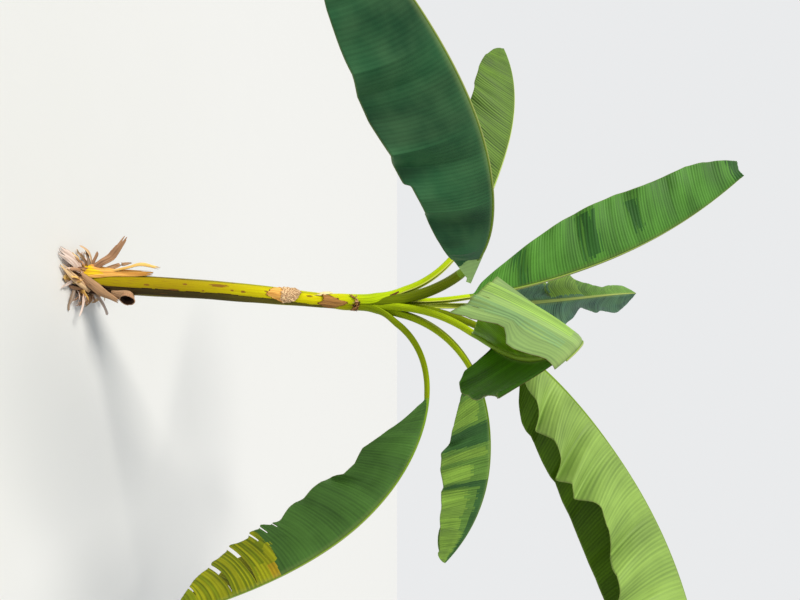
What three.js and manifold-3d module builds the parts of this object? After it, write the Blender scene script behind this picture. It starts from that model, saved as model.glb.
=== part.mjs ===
// A banana plant: a leaning pseudostem of rolled leaf sheaths, eight petioles that fan out of
// its top, eight long folded blades, and the dry sheaths and stubs of older leaves at its foot.
// Millimetres, +Z up. The origin is the centre of the flat cut at ground level. The stem leans
// to +X, and -Y is the front. Angles are in degrees: a heading of 0 is +X and 90 is +Y, a pitch
// of 90 is straight up.
import * as THREE from "three";
import { mergeVertices } from "three/addons/utils/BufferGeometryUtils.js";
import Module from "manifold-3d";

const wasm = await Module();
wasm.setup();

// Driving dimensions
const CLEARANCE = 0.3; // gap that neighbouring pieces keep

const STEM = {
  heights: [0, 60, 270, 540, 840, 1020, 1220, 1330, 1390],
  across: [0, 5, 21, 37, 62, 80, 98, 102, 104], // how far the centre has leaned to +X
  diameter: [132, 108, 96, 91, 87, 73, 67, 68, 82],
  sides: 20,
  rings: 26,
};
const CROWN = { x: 104, y: 0, z: 1400 }; // where the petioles part

// Each leaf is walked from its foot, an offset from the crown, along its petiole and midrib.
// pitch and heading are the walk's direction at the foot, the petiole's end, the middle of the
// blade and its tip. right and left are the angles below level at which the two halves of the
// blade hang, at its base, middle and tip. wave is the height of the waves in its margin and
// waves their number. A tear runs from its mouth, at t of the blade, towards the midrib.
const LEAVES = {
  right_low: {
    foot: [26, -6, -20], petiole: 510, blade: 1445, halfWidth: 265, thick: [40, 30],
    pitch: [73, -3, -51, -75], heading: [352, 349, 321, 305],
    right: [72, 82, 85], left: [60, 60, 60], wave: 10, waves: 9,
    tears: [
      { side: 1, from: 0.82, to: 0.785, depth: 0.92, width: 34 },
      { side: 1, from: 0.89, to: 0.85, depth: 0.8, width: 30 },
      { side: 1, from: 0.66, to: 0.65, depth: 0.22, width: 14 },
      { side: -1, from: 0.7, to: 0.67, depth: 0.6, width: 24 },
    ],
  },
  left_back: {
    foot: [-24, 4, -20], petiole: 500, blade: 1425, halfWidth: 270, thick: [40, 32],
    pitch: [89, 35, 15, -11], heading: [165, 158, 157, 147],
    right: [60, 60, 60], left: [60, 60, 60], wave: 12, waves: 8,
  },
  left_front: {
    foot: [-14, -12, 0], petiole: 450, blade: 1660, halfWidth: 287, thick: [40, 32],
    pitch: [100, 28, -21, -47], heading: [208, 245, 224, 226],
    right: [60, 60, 60], left: [57, 61, 57], wave: 12, waves: 7,
    tears: [
      { side: -1, from: 0.43, to: 0.42, depth: 0.16, width: 26 },
      { side: 1, from: 0.58, to: 0.55, depth: 0.55, width: 22 },
    ],
  },
  right_back: {
    foot: [20, 10, 10], petiole: 560, blade: 1400, halfWidth: 285, thick: [36, 28],
    pitch: [86, 28, -3, -34], heading: [5, 28, 22, 24],
    right: [70, 75, 75], left: [60, 60, 60], wave: 14, waves: 8,
    tears: [{ side: 1, from: 0.26, to: 0.25, depth: 0.2, width: 24 }],
  },
  front: {
    foot: [10, -10, 30], petiole: 480, blade: 1300, halfWidth: 312, thick: [34, 28],
    pitch: [81, 32, 7, -40], heading: [287, 296, 255, 290],
    right: [52, 40, 66], left: [50, 50, 56], wave: 8, waves: 5, lean: 0.09, torn: true,
  },
  up_right: {
    foot: [4, -4, 40], petiole: 670, blade: 1600, halfWidth: 300, thick: [34, 28],
    pitch: [89, 52, 22, -12], heading: [318, 350, 333, 329],
    right: [54, 54, 62], left: [60, 60, 60], wave: 26, waves: 8,
  },
  up_left: {
    foot: [-6, 8, 30], petiole: 385, blade: 1600, halfWidth: 284, thick: [34, 28],
    pitch: [97, 80, 64, 54], heading: [150, 156, 156, 160],
    right: [60, 60, 60], left: [66, 66, 66], wave: 10, waves: 9, blunt: 4.5,
  },
  up_back: {
    foot: [2, 14, 30], petiole: 395, blade: 1330, halfWidth: 260, thick: [30, 26],
    pitch: [82, 65, 61, 47], heading: [75, 90, 99, 92],
    right: [58, 58, 58], left: [58, 58, 58], wave: 14, waves: 7,
    tears: [{ side: -1, from: 0.3, to: 0.26, depth: 0.7, width: 40 }],
  },
};
const BLADE = {
  thickness: 1 / 95, // of the blade's length
  stations: 30,
  parts: [0, 0.5, 1], // where the fold angles hold: base, middle and tip
  curl: 12, // how much steeper each half is at its margin
  lean: 0.15, // how far the veins lean towards the tip
  keel: 1.9, // depth of the solid at the midrib, in thicknesses
  widest: 0.5, // along the blade
  leastWidth: 0.13, // of the half width, at the base and tip
  steps: 12, // of the walk from the midrib to the margin
  across: [1 / 3, 2 / 3, 1], // places of the points kept from that walk
};
const TEAR_REACH = 45; // how far a tear's cutter stands out of the blade and past its margin
const PETIOLE = { stations: 15, sides: 10, root: 70, channel: 0.24, depth: 0.86 };

// Strips of dry sheath, each along a few points from its foot to its end, with its width there.
// face is the way its outer side looks, and cup is how far its edges bend back from its middle.
const STRIPS = {
  sheath_peeled: {
    points: [[-50, -30, 6], [-53, -34, 70], [-43, -28, 180], [-38, -24, 352]],
    width: [30, 54, 32, 16], face: [-0.75, -0.66, 0], cup: 7,
  },
  sheath_curled: {
    points: [[-48, -30, 150], [-62, -36, 225], [-78, -40, 300], [-60, -36, 388]],
    width: [12, 15, 17, 8], face: [-0.6, -0.8, 0.1], cup: 3,
  },
  sheath_flap_left: {
    points: [[-44, -20, 30], [-84, -40, 110], [-124, -56, 180], [-205, -70, 246]],
    width: [40, 52, 44, 30], face: [-0.5, -0.6, 0.65], cup: 6,
  },
  sheath_flap_front: {
    points: [[-30, -45, 40], [-88, -112, 36], [-134, -188, 9]],
    width: [40, 50, 46], face: [0, -0.2, 1], cup: 4,
  },
  sheath_straw_front: {
    points: [[46, -38, 66], [0, -104, 46], [-68, -178, 9]],
    width: [26, 30, 20], face: [0.1, -0.4, 0.9], cup: 4,
  },
  sheath_wrap: {
    points: [[-38, -42, 12], [0, -64, 84], [50, -52, 128], [92, -30, 196]],
    width: [44, 60, 50, 24], face: [0.2, -0.97, 0.1], cup: 10,
  },
  sheath_flap_back: {
    points: [[-26, 44, 26], [-66, 92, 105], [-92, 150, 150], [-98, 205, 150]],
    width: [40, 50, 42, 24], face: [-0.3, 0.75, 0.6], cup: 6,
  },
  sheath_straw_back: {
    points: [[20, 44, 30], [46, 112, 44], [60, 186, 9]],
    width: [34, 42, 26], face: [0.2, 0.2, 0.95], cup: 4,
  },
  sheath_upright_back: {
    points: [[30, 44, 6], [38, 56, 90], [44, 52, 190], [50, 54, 290]],
    width: [46, 50, 34, 14], face: [0.4, 0.9, 0], cup: 8,
  },
  scar_collar: {
    points: [[66, -47, 872], [70, -44, 950], [78, -41, 1030]],
    width: [46, 60, 50], face: [-0.1, -1, 0], cup: 11,
  },
  scar_upper: {
    points: [[90, -40, 1118], [94, -39, 1180], [98, -39, 1248]],
    width: [44, 52, 30], face: [0.1, -1, 0], cup: 11,
  },
  scar_knot: {
    points: [[72, -26, 1296], [104, -38, 1292], [141, -16, 1300]],
    width: [18, 26, 16], face: [0.1, -1, 0], cup: 2,
  },
};
const STRIP = { thickness: 5, rows: 9, places: [-1, -0.5, 0, 0.5, 1] };
const TUBE = { sides: 12, steps: 6 };
// The stub of a dead petiole: a curled hollow limb, open at its mouth.
const STUB = { points: [[50, -14, 165], [74, -30, 215], [90, -56, 254]], radius: 23, wall: 6 };

const COLOURS = {
  stem: 0xa9a63a,
  petiole: 0xb5b83c,
  blade: 0x5c8f35,
  dry: 0xa5825a,
};
const finish = {
  stem: new THREE.MeshStandardMaterial({ color: COLOURS.stem, roughness: 0.5 }),
  petiole: new THREE.MeshStandardMaterial({ color: COLOURS.petiole, roughness: 0.45 }),
  blade: new THREE.MeshStandardMaterial({ color: COLOURS.blade, roughness: 0.5 }),
  dry: new THREE.MeshStandardMaterial({ color: COLOURS.dry, roughness: 0.9 }),
};

const radians = THREE.MathUtils.degToRad;

/** A smooth curve through the values at the given stations, read at one place. */
function ease(values, stations, place) {
  const last = values.length - 1;
  const slope = (i) => {
    const before = Math.max(0, i - 1);
    const after = Math.min(last, i + 1);
    return (values[after] - values[before]) / (stations[after] - stations[before]);
  };
  let k = 0;
  while (k < last - 1 && place > stations[k + 1]) k += 1;
  const span = stations[k + 1] - stations[k];
  const u = THREE.MathUtils.clamp((place - stations[k]) / span, 0, 1);
  const start = (2 * u ** 3 - 3 * u ** 2 + 1) * values[k];
  const leaving = (u ** 3 - 2 * u ** 2 + u) * span * slope(k);
  const end = (3 * u ** 2 - 2 * u ** 3) * values[k + 1];
  const arriving = (u ** 3 - u ** 2) * span * slope(k + 1);
  return start + leaving + end + arriving;
}

/** The directions along, to the right of and above a rib of the given pitch and heading. */
function directions(pitch, heading) {
  const p = radians(pitch);
  const h = radians(heading);
  const along = new THREE.Vector3(Math.cos(p) * Math.cos(h), Math.cos(p) * Math.sin(h), Math.sin(p));
  const right = new THREE.Vector3(Math.sin(h), -Math.cos(h), 0);
  const above = new THREE.Vector3().crossVectors(right, along);
  return { along, right, above };
}

/** Walks a leaf's petiole and midrib, and gives a function from length to place and directions. */
function rib(leaf) {
  const { petiole, blade } = leaf;
  const stations = [0, petiole, petiole + blade / 2, petiole + blade];
  const facing = (s) => directions(ease(leaf.pitch, stations, s), ease(leaf.heading, stations, s));
  const step = 5;
  const count = Math.ceil((petiole + blade) / step);
  const places = [new THREE.Vector3(CROWN.x, CROWN.y, CROWN.z).add(new THREE.Vector3(...leaf.foot))];
  for (let i = 0; i < count; i += 1) {
    places.push(places[i].clone().addScaledVector(facing((i + 0.5) * step).along, step));
  }
  return (s) => {
    const way = facing(s);
    const i = THREE.MathUtils.clamp(Math.floor(s / step), 0, count - 1);
    const place = places[i].clone().addScaledVector(way.along, s - i * step);
    return { place, ...way };
  };
}

/** Half width of a blade at t, 0 at its base and 1 at its tip, as a part of the widest. */
function outline(leaf, t) {
  const rise = Math.sin((Math.PI / 2) * Math.min(1, t / BLADE.widest)) ** 0.8;
  const past = Math.max(0, (t - BLADE.widest) / (1 - BLADE.widest));
  const fall = leaf.torn ? 1 - 0.12 * past ** 2 : (1 - past ** (leaf.blunt ?? 2.6)) ** 0.7;
  return Math.max(BLADE.leastWidth, rise * fall);
}

/** How far the margin waves out of the half blade's surface at t, in the leaf's wave heights. */
function wave(leaf, side, t) {
  const turn = 2 * Math.PI * (leaf.waves * t + (side > 0 ? 0 : 0.37));
  return Math.sin(turn) + 0.4 * Math.sin(0.61 * turn + 1);
}

/** Points of one half blade at t, from beside the midrib to the margin, with their inward sides. */
function halfRow(leaf, at, side, t) {
  const fold = ease(side > 0 ? leaf.right : leaf.left, BLADE.parts, t);
  const width = leaf.halfWidth * outline(leaf, t);
  const place = at.place.clone();
  const row = [];
  for (let k = 0; k < BLADE.steps; k += 1) {
    const across = (k + 0.5) / BLADE.steps;
    const angle = radians(fold + BLADE.curl * across);
    const way = at.right.clone().multiplyScalar(side * Math.cos(angle));
    way.addScaledVector(at.above, -Math.sin(angle));
    way.addScaledVector(at.along, (leaf.lean ?? BLADE.lean) * 2 * across);
    place.addScaledVector(way, width / BLADE.steps);
    const outward = at.above.clone().multiplyScalar(Math.cos(angle));
    outward.addScaledVector(at.right, side * Math.sin(angle));
    const reached = (k + 1) / BLADE.steps;
    const lift = leaf.wave * wave(leaf, side, t) * outline(leaf, t) * reached ** 2;
    row.push({ place: place.clone().addScaledVector(outward, lift), outward, width });
  }
  return BLADE.across.map((across) => row[Math.round(across * BLADE.steps) - 1]);
}

/** A mesh from points and triangles. */
function mesh(points, triangles) {
  const geometry = new THREE.BufferGeometry();
  geometry.setAttribute("position", new THREE.Float32BufferAttribute(points.flatMap((p) => p.toArray()), 3));
  geometry.setIndex(triangles);
  geometry.computeVertexNormals();
  return geometry;
}

/** The closed solid between an outer and an inner surface, given as equal grids of points. */
function slab(outer, inner) {
  const rows = outer.length;
  const columns = outer[0].length;
  const triangles = [];
  const quad = (a, b, c, d) => triangles.push(a, b, c, a, c, d);
  const out = (i, j) => i * columns + j;
  const back = (i, j) => rows * columns + out(i, j);
  for (let i = 0; i < rows - 1; i += 1) {
    for (let j = 0; j < columns - 1; j += 1) {
      quad(out(i, j), out(i + 1, j), out(i + 1, j + 1), out(i, j + 1));
      quad(back(i, j), back(i, j + 1), back(i + 1, j + 1), back(i + 1, j));
    }
    quad(out(i + 1, 0), out(i, 0), back(i, 0), back(i + 1, 0));
    quad(out(i, columns - 1), out(i + 1, columns - 1), back(i + 1, columns - 1), back(i, columns - 1));
  }
  for (let j = 0; j < columns - 1; j += 1) {
    quad(out(0, j), out(0, j + 1), back(0, j + 1), back(0, j));
    quad(out(rows - 1, j + 1), out(rows - 1, j), back(rows - 1, j), back(rows - 1, j + 1));
  }
  return mesh([...outer.flat(), ...inner.flat()], triangles);
}

/** The closed solid through a row of rings, each turning anticlockwise about the way ahead. */
function loft(rings) {
  const sides = rings[0].length;
  const last = rings.length - 1;
  const triangles = [];
  for (let i = 0; i < last; i += 1) {
    for (let k = 0; k < sides; k += 1) {
      const next = (k + 1) % sides;
      const corners = [i * sides + k, i * sides + next, (i + 1) * sides + next, (i + 1) * sides + k];
      triangles.push(corners[0], corners[1], corners[2], corners[0], corners[2], corners[3]);
    }
  }
  const centre = (ring) => ring.reduce((sum, p) => sum.add(p), new THREE.Vector3()).divideScalar(sides);
  const first = rings.length * sides;
  for (let k = 0; k < sides; k += 1) {
    const next = (k + 1) % sides;
    triangles.push(first, next, k, first + 1, last * sides + k, last * sides + next);
  }
  return mesh([...rings.flat(), centre(rings[0]), centre(rings[last])], triangles);
}

/** The blade of a leaf: one thin closed solid, folded along its midrib. */
function bladeGeometry(leaf) {
  const midrib = rib(leaf);
  const thickness = leaf.blade * BLADE.thickness;
  const outer = [];
  const inner = [];
  for (let i = 0; i <= BLADE.stations; i += 1) {
    const u = i / BLADE.stations;
    const t = 0.6 * u + 0.2 * (1 - Math.cos(Math.PI * u));
    const at = midrib(leaf.petiole + CLEARANCE + (leaf.blade - CLEARANCE) * t);
    const right = halfRow(leaf, at, 1, t);
    const left = halfRow(leaf, at, -1, t);
    const foldRight = ease(leaf.right, BLADE.parts, t);
    const foldLeft = ease(leaf.left, BLADE.parts, t);
    const openness = Math.tan(radians((180 - foldRight - foldLeft) / 2));
    const tilt = radians((foldRight - foldLeft) / 2);
    const inwards = at.above.clone().multiplyScalar(-Math.cos(tilt));
    inwards.addScaledVector(at.right, -Math.sin(tilt));
    const under = (p, k) => {
      const room = 0.8 * p.width * BLADE.across[k] * openness;
      return p.place.clone().addScaledVector(p.outward, -Math.min(thickness, room));
    };
    outer.push([...right.map((p) => p.place).reverse(), at.place, ...left.map((p) => p.place)]);
    inner.push([
      ...right.map(under).reverse(),
      at.place.clone().addScaledVector(inwards, BLADE.keel * thickness),
      ...left.map(under),
    ]);
  }
  return slab(outer, inner);
}

/** The wedges that cut a blade's tears, each from its mouth at the margin to its inner end. */
function tearCutters(leaf) {
  const midrib = rib(leaf);
  return (leaf.tears ?? []).map((tear) => {
    const row = (t) => halfRow(leaf, midrib(leaf.petiole + leaf.blade * t), tear.side, t);
    const at = midrib(leaf.petiole + leaf.blade * tear.from);
    const mouth = row(tear.from).at(-1);
    const hinge = midrib(leaf.petiole + leaf.blade * tear.to).place;
    const inner = row(tear.to).at(-1).place.lerp(hinge, tear.depth);
    const beyond = mouth.place.clone().sub(inner).setLength(TEAR_REACH);
    const corners = [-1, 1].map((way) =>
      mouth.place.clone().add(beyond).addScaledVector(at.along, way * tear.width),
    );
    const ring = (reach) => [inner, ...corners].map((p) => p.clone().addScaledVector(mouth.outward, reach));
    const normal = corners[0].clone().sub(inner).cross(corners[1].clone().sub(inner));
    const ahead = normal.dot(mouth.outward) > 0 ? 1 : -1;
    return solid(loft([ring(-ahead * TEAR_REACH), ring(ahead * TEAR_REACH)]));
  });
}

/** A petiole: a tapering limb with a channel along its upper side, from its foot to the blade. */
function petioleGeometry(leaf, extra = 0) {
  const midrib = rib(leaf);
  const start = midrib(0);
  const rings = [];
  for (let i = 0; i <= PETIOLE.stations; i += 1) {
    const s = -PETIOLE.root + ((leaf.petiole - CLEARANCE + PETIOLE.root) * i) / PETIOLE.stations;
    const at = s < 0 ? { ...start, place: start.place.clone().addScaledVector(start.along, s) } : midrib(s);
    const width = THREE.MathUtils.lerp(leaf.thick[0], leaf.thick[1], Math.max(0, s) / leaf.petiole);
    const ring = [];
    for (let k = 0; k < PETIOLE.sides; k += 1) {
      const turn = (2 * Math.PI * k) / PETIOLE.sides;
      const aside = (width / 2 + extra) * Math.sin(turn);
      const dent = PETIOLE.channel * width * Math.max(0, Math.cos(turn)) ** 6;
      const up = ((width / 2) * PETIOLE.depth + extra) * Math.cos(turn) - dent - width * PETIOLE.depth / 2;
      ring.push(at.place.clone().addScaledVector(at.right, aside).addScaledVector(at.above, up));
    }
    rings.push(ring);
  }
  return loft(rings);
}

/** The pseudostem, from its flat cut at the ground to its top, larger all round by extra. */
function stemGeometry(extra = 0) {
  const top = STEM.heights.at(-1);
  const rings = [];
  for (let i = 0; i <= STEM.rings; i += 1) {
    const z = top * (i / STEM.rings) ** 1.15;
    const radius = ease(STEM.diameter, STEM.heights, z) / 2 + extra;
    const across = ease(STEM.across, STEM.heights, z);
    const height = i === STEM.rings ? z + extra : z;
    const ring = [];
    for (let k = 0; k < STEM.sides; k += 1) {
      const turn = (2 * Math.PI * k) / STEM.sides;
      ring.push(new THREE.Vector3(across + radius * Math.cos(turn), radius * Math.sin(turn), height));
    }
    rings.push(ring);
  }
  return loft(rings);
}

/** A strip of dry sheath, larger all round by extra. */
function stripGeometry({ points, width, face, cup }, extra = 0) {
  const curve = new THREE.CatmullRomCurve3(points.map((p) => new THREE.Vector3(...p)));
  const stations = width.map((_, i) => i / (width.length - 1));
  const outer = [];
  const inner = [];
  for (let i = 0; i <= STRIP.rows; i += 1) {
    const t = i / STRIP.rows;
    const along = curve.getTangent(t);
    const outward = new THREE.Vector3(...face).projectOnPlane(along).normalize();
    const aside = new THREE.Vector3().crossVectors(outward, along);
    const half = ease(width, stations, t) / 2 + extra;
    const bend = (place) =>
      curve.getPoint(t).addScaledVector(aside, half * place).addScaledVector(outward, -cup * place ** 2);
    outer.push(STRIP.places.map((place) => bend(place).addScaledVector(outward, extra)));
    inner.push(STRIP.places.map((place) => bend(place).addScaledVector(outward, -STRIP.thickness - extra)));
  }
  return slab(outer, inner);
}

/** A round limb of one radius along a few points. */
function tube(points, radius) {
  const curve = new THREE.CatmullRomCurve3(points);
  const rings = [];
  for (let i = 0; i <= TUBE.steps; i += 1) {
    const along = curve.getTangent(i / TUBE.steps);
    const aside = new THREE.Vector3(0, 0, 1).cross(along).normalize();
    const above = new THREE.Vector3().crossVectors(along, aside);
    const ring = [];
    for (let k = 0; k < TUBE.sides; k += 1) {
      const turn = (2 * Math.PI * k) / TUBE.sides;
      const spoke = aside.clone().multiplyScalar(Math.cos(turn)).addScaledVector(above, Math.sin(turn));
      ring.push(curve.getPoint(i / TUBE.steps).addScaledVector(spoke, radius));
    }
    rings.push(ring);
  }
  return loft(rings);
}

/** A geometry as a manifold-3d solid. */
function solid(geometry) {
  const bare = geometry.clone();
  bare.deleteAttribute("normal");
  bare.deleteAttribute("uv");
  const merged = mergeVertices(bare, 1e-4);
  const vertProperties = new Float32Array(merged.attributes.position.array);
  const triVerts = new Uint32Array(merged.index.array);
  return new wasm.Manifold(new wasm.Mesh({ numProp: 3, vertProperties, triVerts }));
}

/** The largest piece of a manifold-3d solid as a geometry. */
function geometryOf(body) {
  const pieces = body.decompose();
  const largest = pieces.reduce((best, piece) => (piece.volume() > best.volume() ? piece : best));
  const { vertProperties, triVerts } = largest.getMesh();
  const geometry = new THREE.BufferGeometry();
  geometry.setAttribute("position", new THREE.BufferAttribute(vertProperties, 3));
  geometry.setIndex(new THREE.BufferAttribute(triVerts, 1));
  geometry.computeVertexNormals();
  return geometry;
}

const plant = new THREE.Group();

function add(name, geometry, material) {
  const piece = new THREE.Mesh(geometry, material);
  piece.name = name;
  plant.add(piece);
}

add("pseudostem", stemGeometry(), finish.stem);

// The older petioles stand outside, and each younger one is cut clear of them and of the stem.
let taken = solid(stemGeometry(CLEARANCE));
for (const [name, leaf] of Object.entries(LEAVES)) {
  add(`petiole_${name}`, geometryOf(solid(petioleGeometry(leaf)).subtract(taken)), finish.petiole);
  taken = taken.add(solid(petioleGeometry(leaf, CLEARANCE)));
}

for (const [name, leaf] of Object.entries(LEAVES)) {
  const whole = solid(bladeGeometry(leaf));
  const torn = tearCutters(leaf).reduce((blade, cutter) => blade.subtract(cutter), whole);
  add(`blade_${name}`, geometryOf(torn), finish.blade);
}

// The dry pieces lie on the stem and on each other, and none reaches below the ground.
const ground = solid(new THREE.BoxGeometry(1000, 1000, 200).translate(0, 0, -100));
taken = taken.add(ground);

const [root, elbow, mouth] = STUB.points.map((p) => new THREE.Vector3(...p));
const beyond = mouth.clone().lerp(elbow, -0.5);
const hollow = solid(tube([elbow, mouth, beyond], STUB.radius - STUB.wall));
const stub = solid(tube([root, elbow, mouth], STUB.radius)).subtract(hollow).subtract(taken);
add("dead_petiole_stub", geometryOf(stub), finish.dry);
taken = taken.add(solid(tube([root, elbow, mouth], STUB.radius + CLEARANCE)));

for (const [name, strip] of Object.entries(STRIPS)) {
  add(name, geometryOf(solid(stripGeometry(strip)).subtract(taken)), finish.dry);
  taken = taken.add(solid(stripGeometry(strip, CLEARANCE)));
}

export default plant;
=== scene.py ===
"""The looks of a young banana plant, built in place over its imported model.

Blender works in metres, +Z up, with -Y the front. The plant's sizes below are in millimetres, as
in the part's source, and MM turns them into metres. Angles are in degrees: a heading of 0 is +X
and 90 is +Y, a pitch of 90 is straight up.
"""
import math

import bpy
import numpy as np
from bpy.props import FloatProperty, FloatVectorProperty, PointerProperty
from bpy.types import Operator, Panel, PropertyGroup
from mathutils import Matrix, Vector


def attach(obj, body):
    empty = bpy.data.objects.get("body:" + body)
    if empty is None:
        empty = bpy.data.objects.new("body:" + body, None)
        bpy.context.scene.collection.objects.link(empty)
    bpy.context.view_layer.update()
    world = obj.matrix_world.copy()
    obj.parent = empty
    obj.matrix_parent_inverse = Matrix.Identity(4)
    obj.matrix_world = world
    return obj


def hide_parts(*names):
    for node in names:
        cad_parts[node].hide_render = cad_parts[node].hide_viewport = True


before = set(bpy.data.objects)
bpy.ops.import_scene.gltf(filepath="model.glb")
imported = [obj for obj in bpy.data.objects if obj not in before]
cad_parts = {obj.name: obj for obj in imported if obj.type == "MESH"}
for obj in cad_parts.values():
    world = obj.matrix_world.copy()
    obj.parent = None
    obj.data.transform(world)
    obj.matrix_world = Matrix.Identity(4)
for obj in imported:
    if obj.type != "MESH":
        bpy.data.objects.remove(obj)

bl_info = {
    "name": "Banana plant",
    "version": (1, 0, 0),
    "blender": (4, 5, 0),
    "location": "3D View > Sidebar > Banana plant",
    "description": "Builds the stem, leaves and dry sheaths of a young banana plant",
    "category": "Object",
}

MM = 0.001
BODY = "root"
PATTERN = "pattern"  # the map that the materials read
BAKE = "OFBake"  # the map that textures are baked through
UPPER_ROOM = (0.0, 0.46)  # where a shell's upper side, rims and under side lie on the bake map
RIM_ROOM = (0.47, 0.53)
UNDER_ROOM = (0.54, 1.0)
PLEAT = 0.0155  # width of a pleat, in metres
GIRTH = 0.045  # metres on the stem's map for each radian round it

# The pseudostem and the point where the petioles part, as in the part's source
STEM = {
    "heights": (0, 60, 270, 540, 840, 1020, 1220, 1330, 1390),
    "across": (0, 5, 21, 37, 62, 80, 98, 102, 104),
    "diameter": (132, 108, 96, 91, 87, 73, 67, 68, 82),
}
CROWN = np.array((104.0, 0.0, 1400.0))

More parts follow.
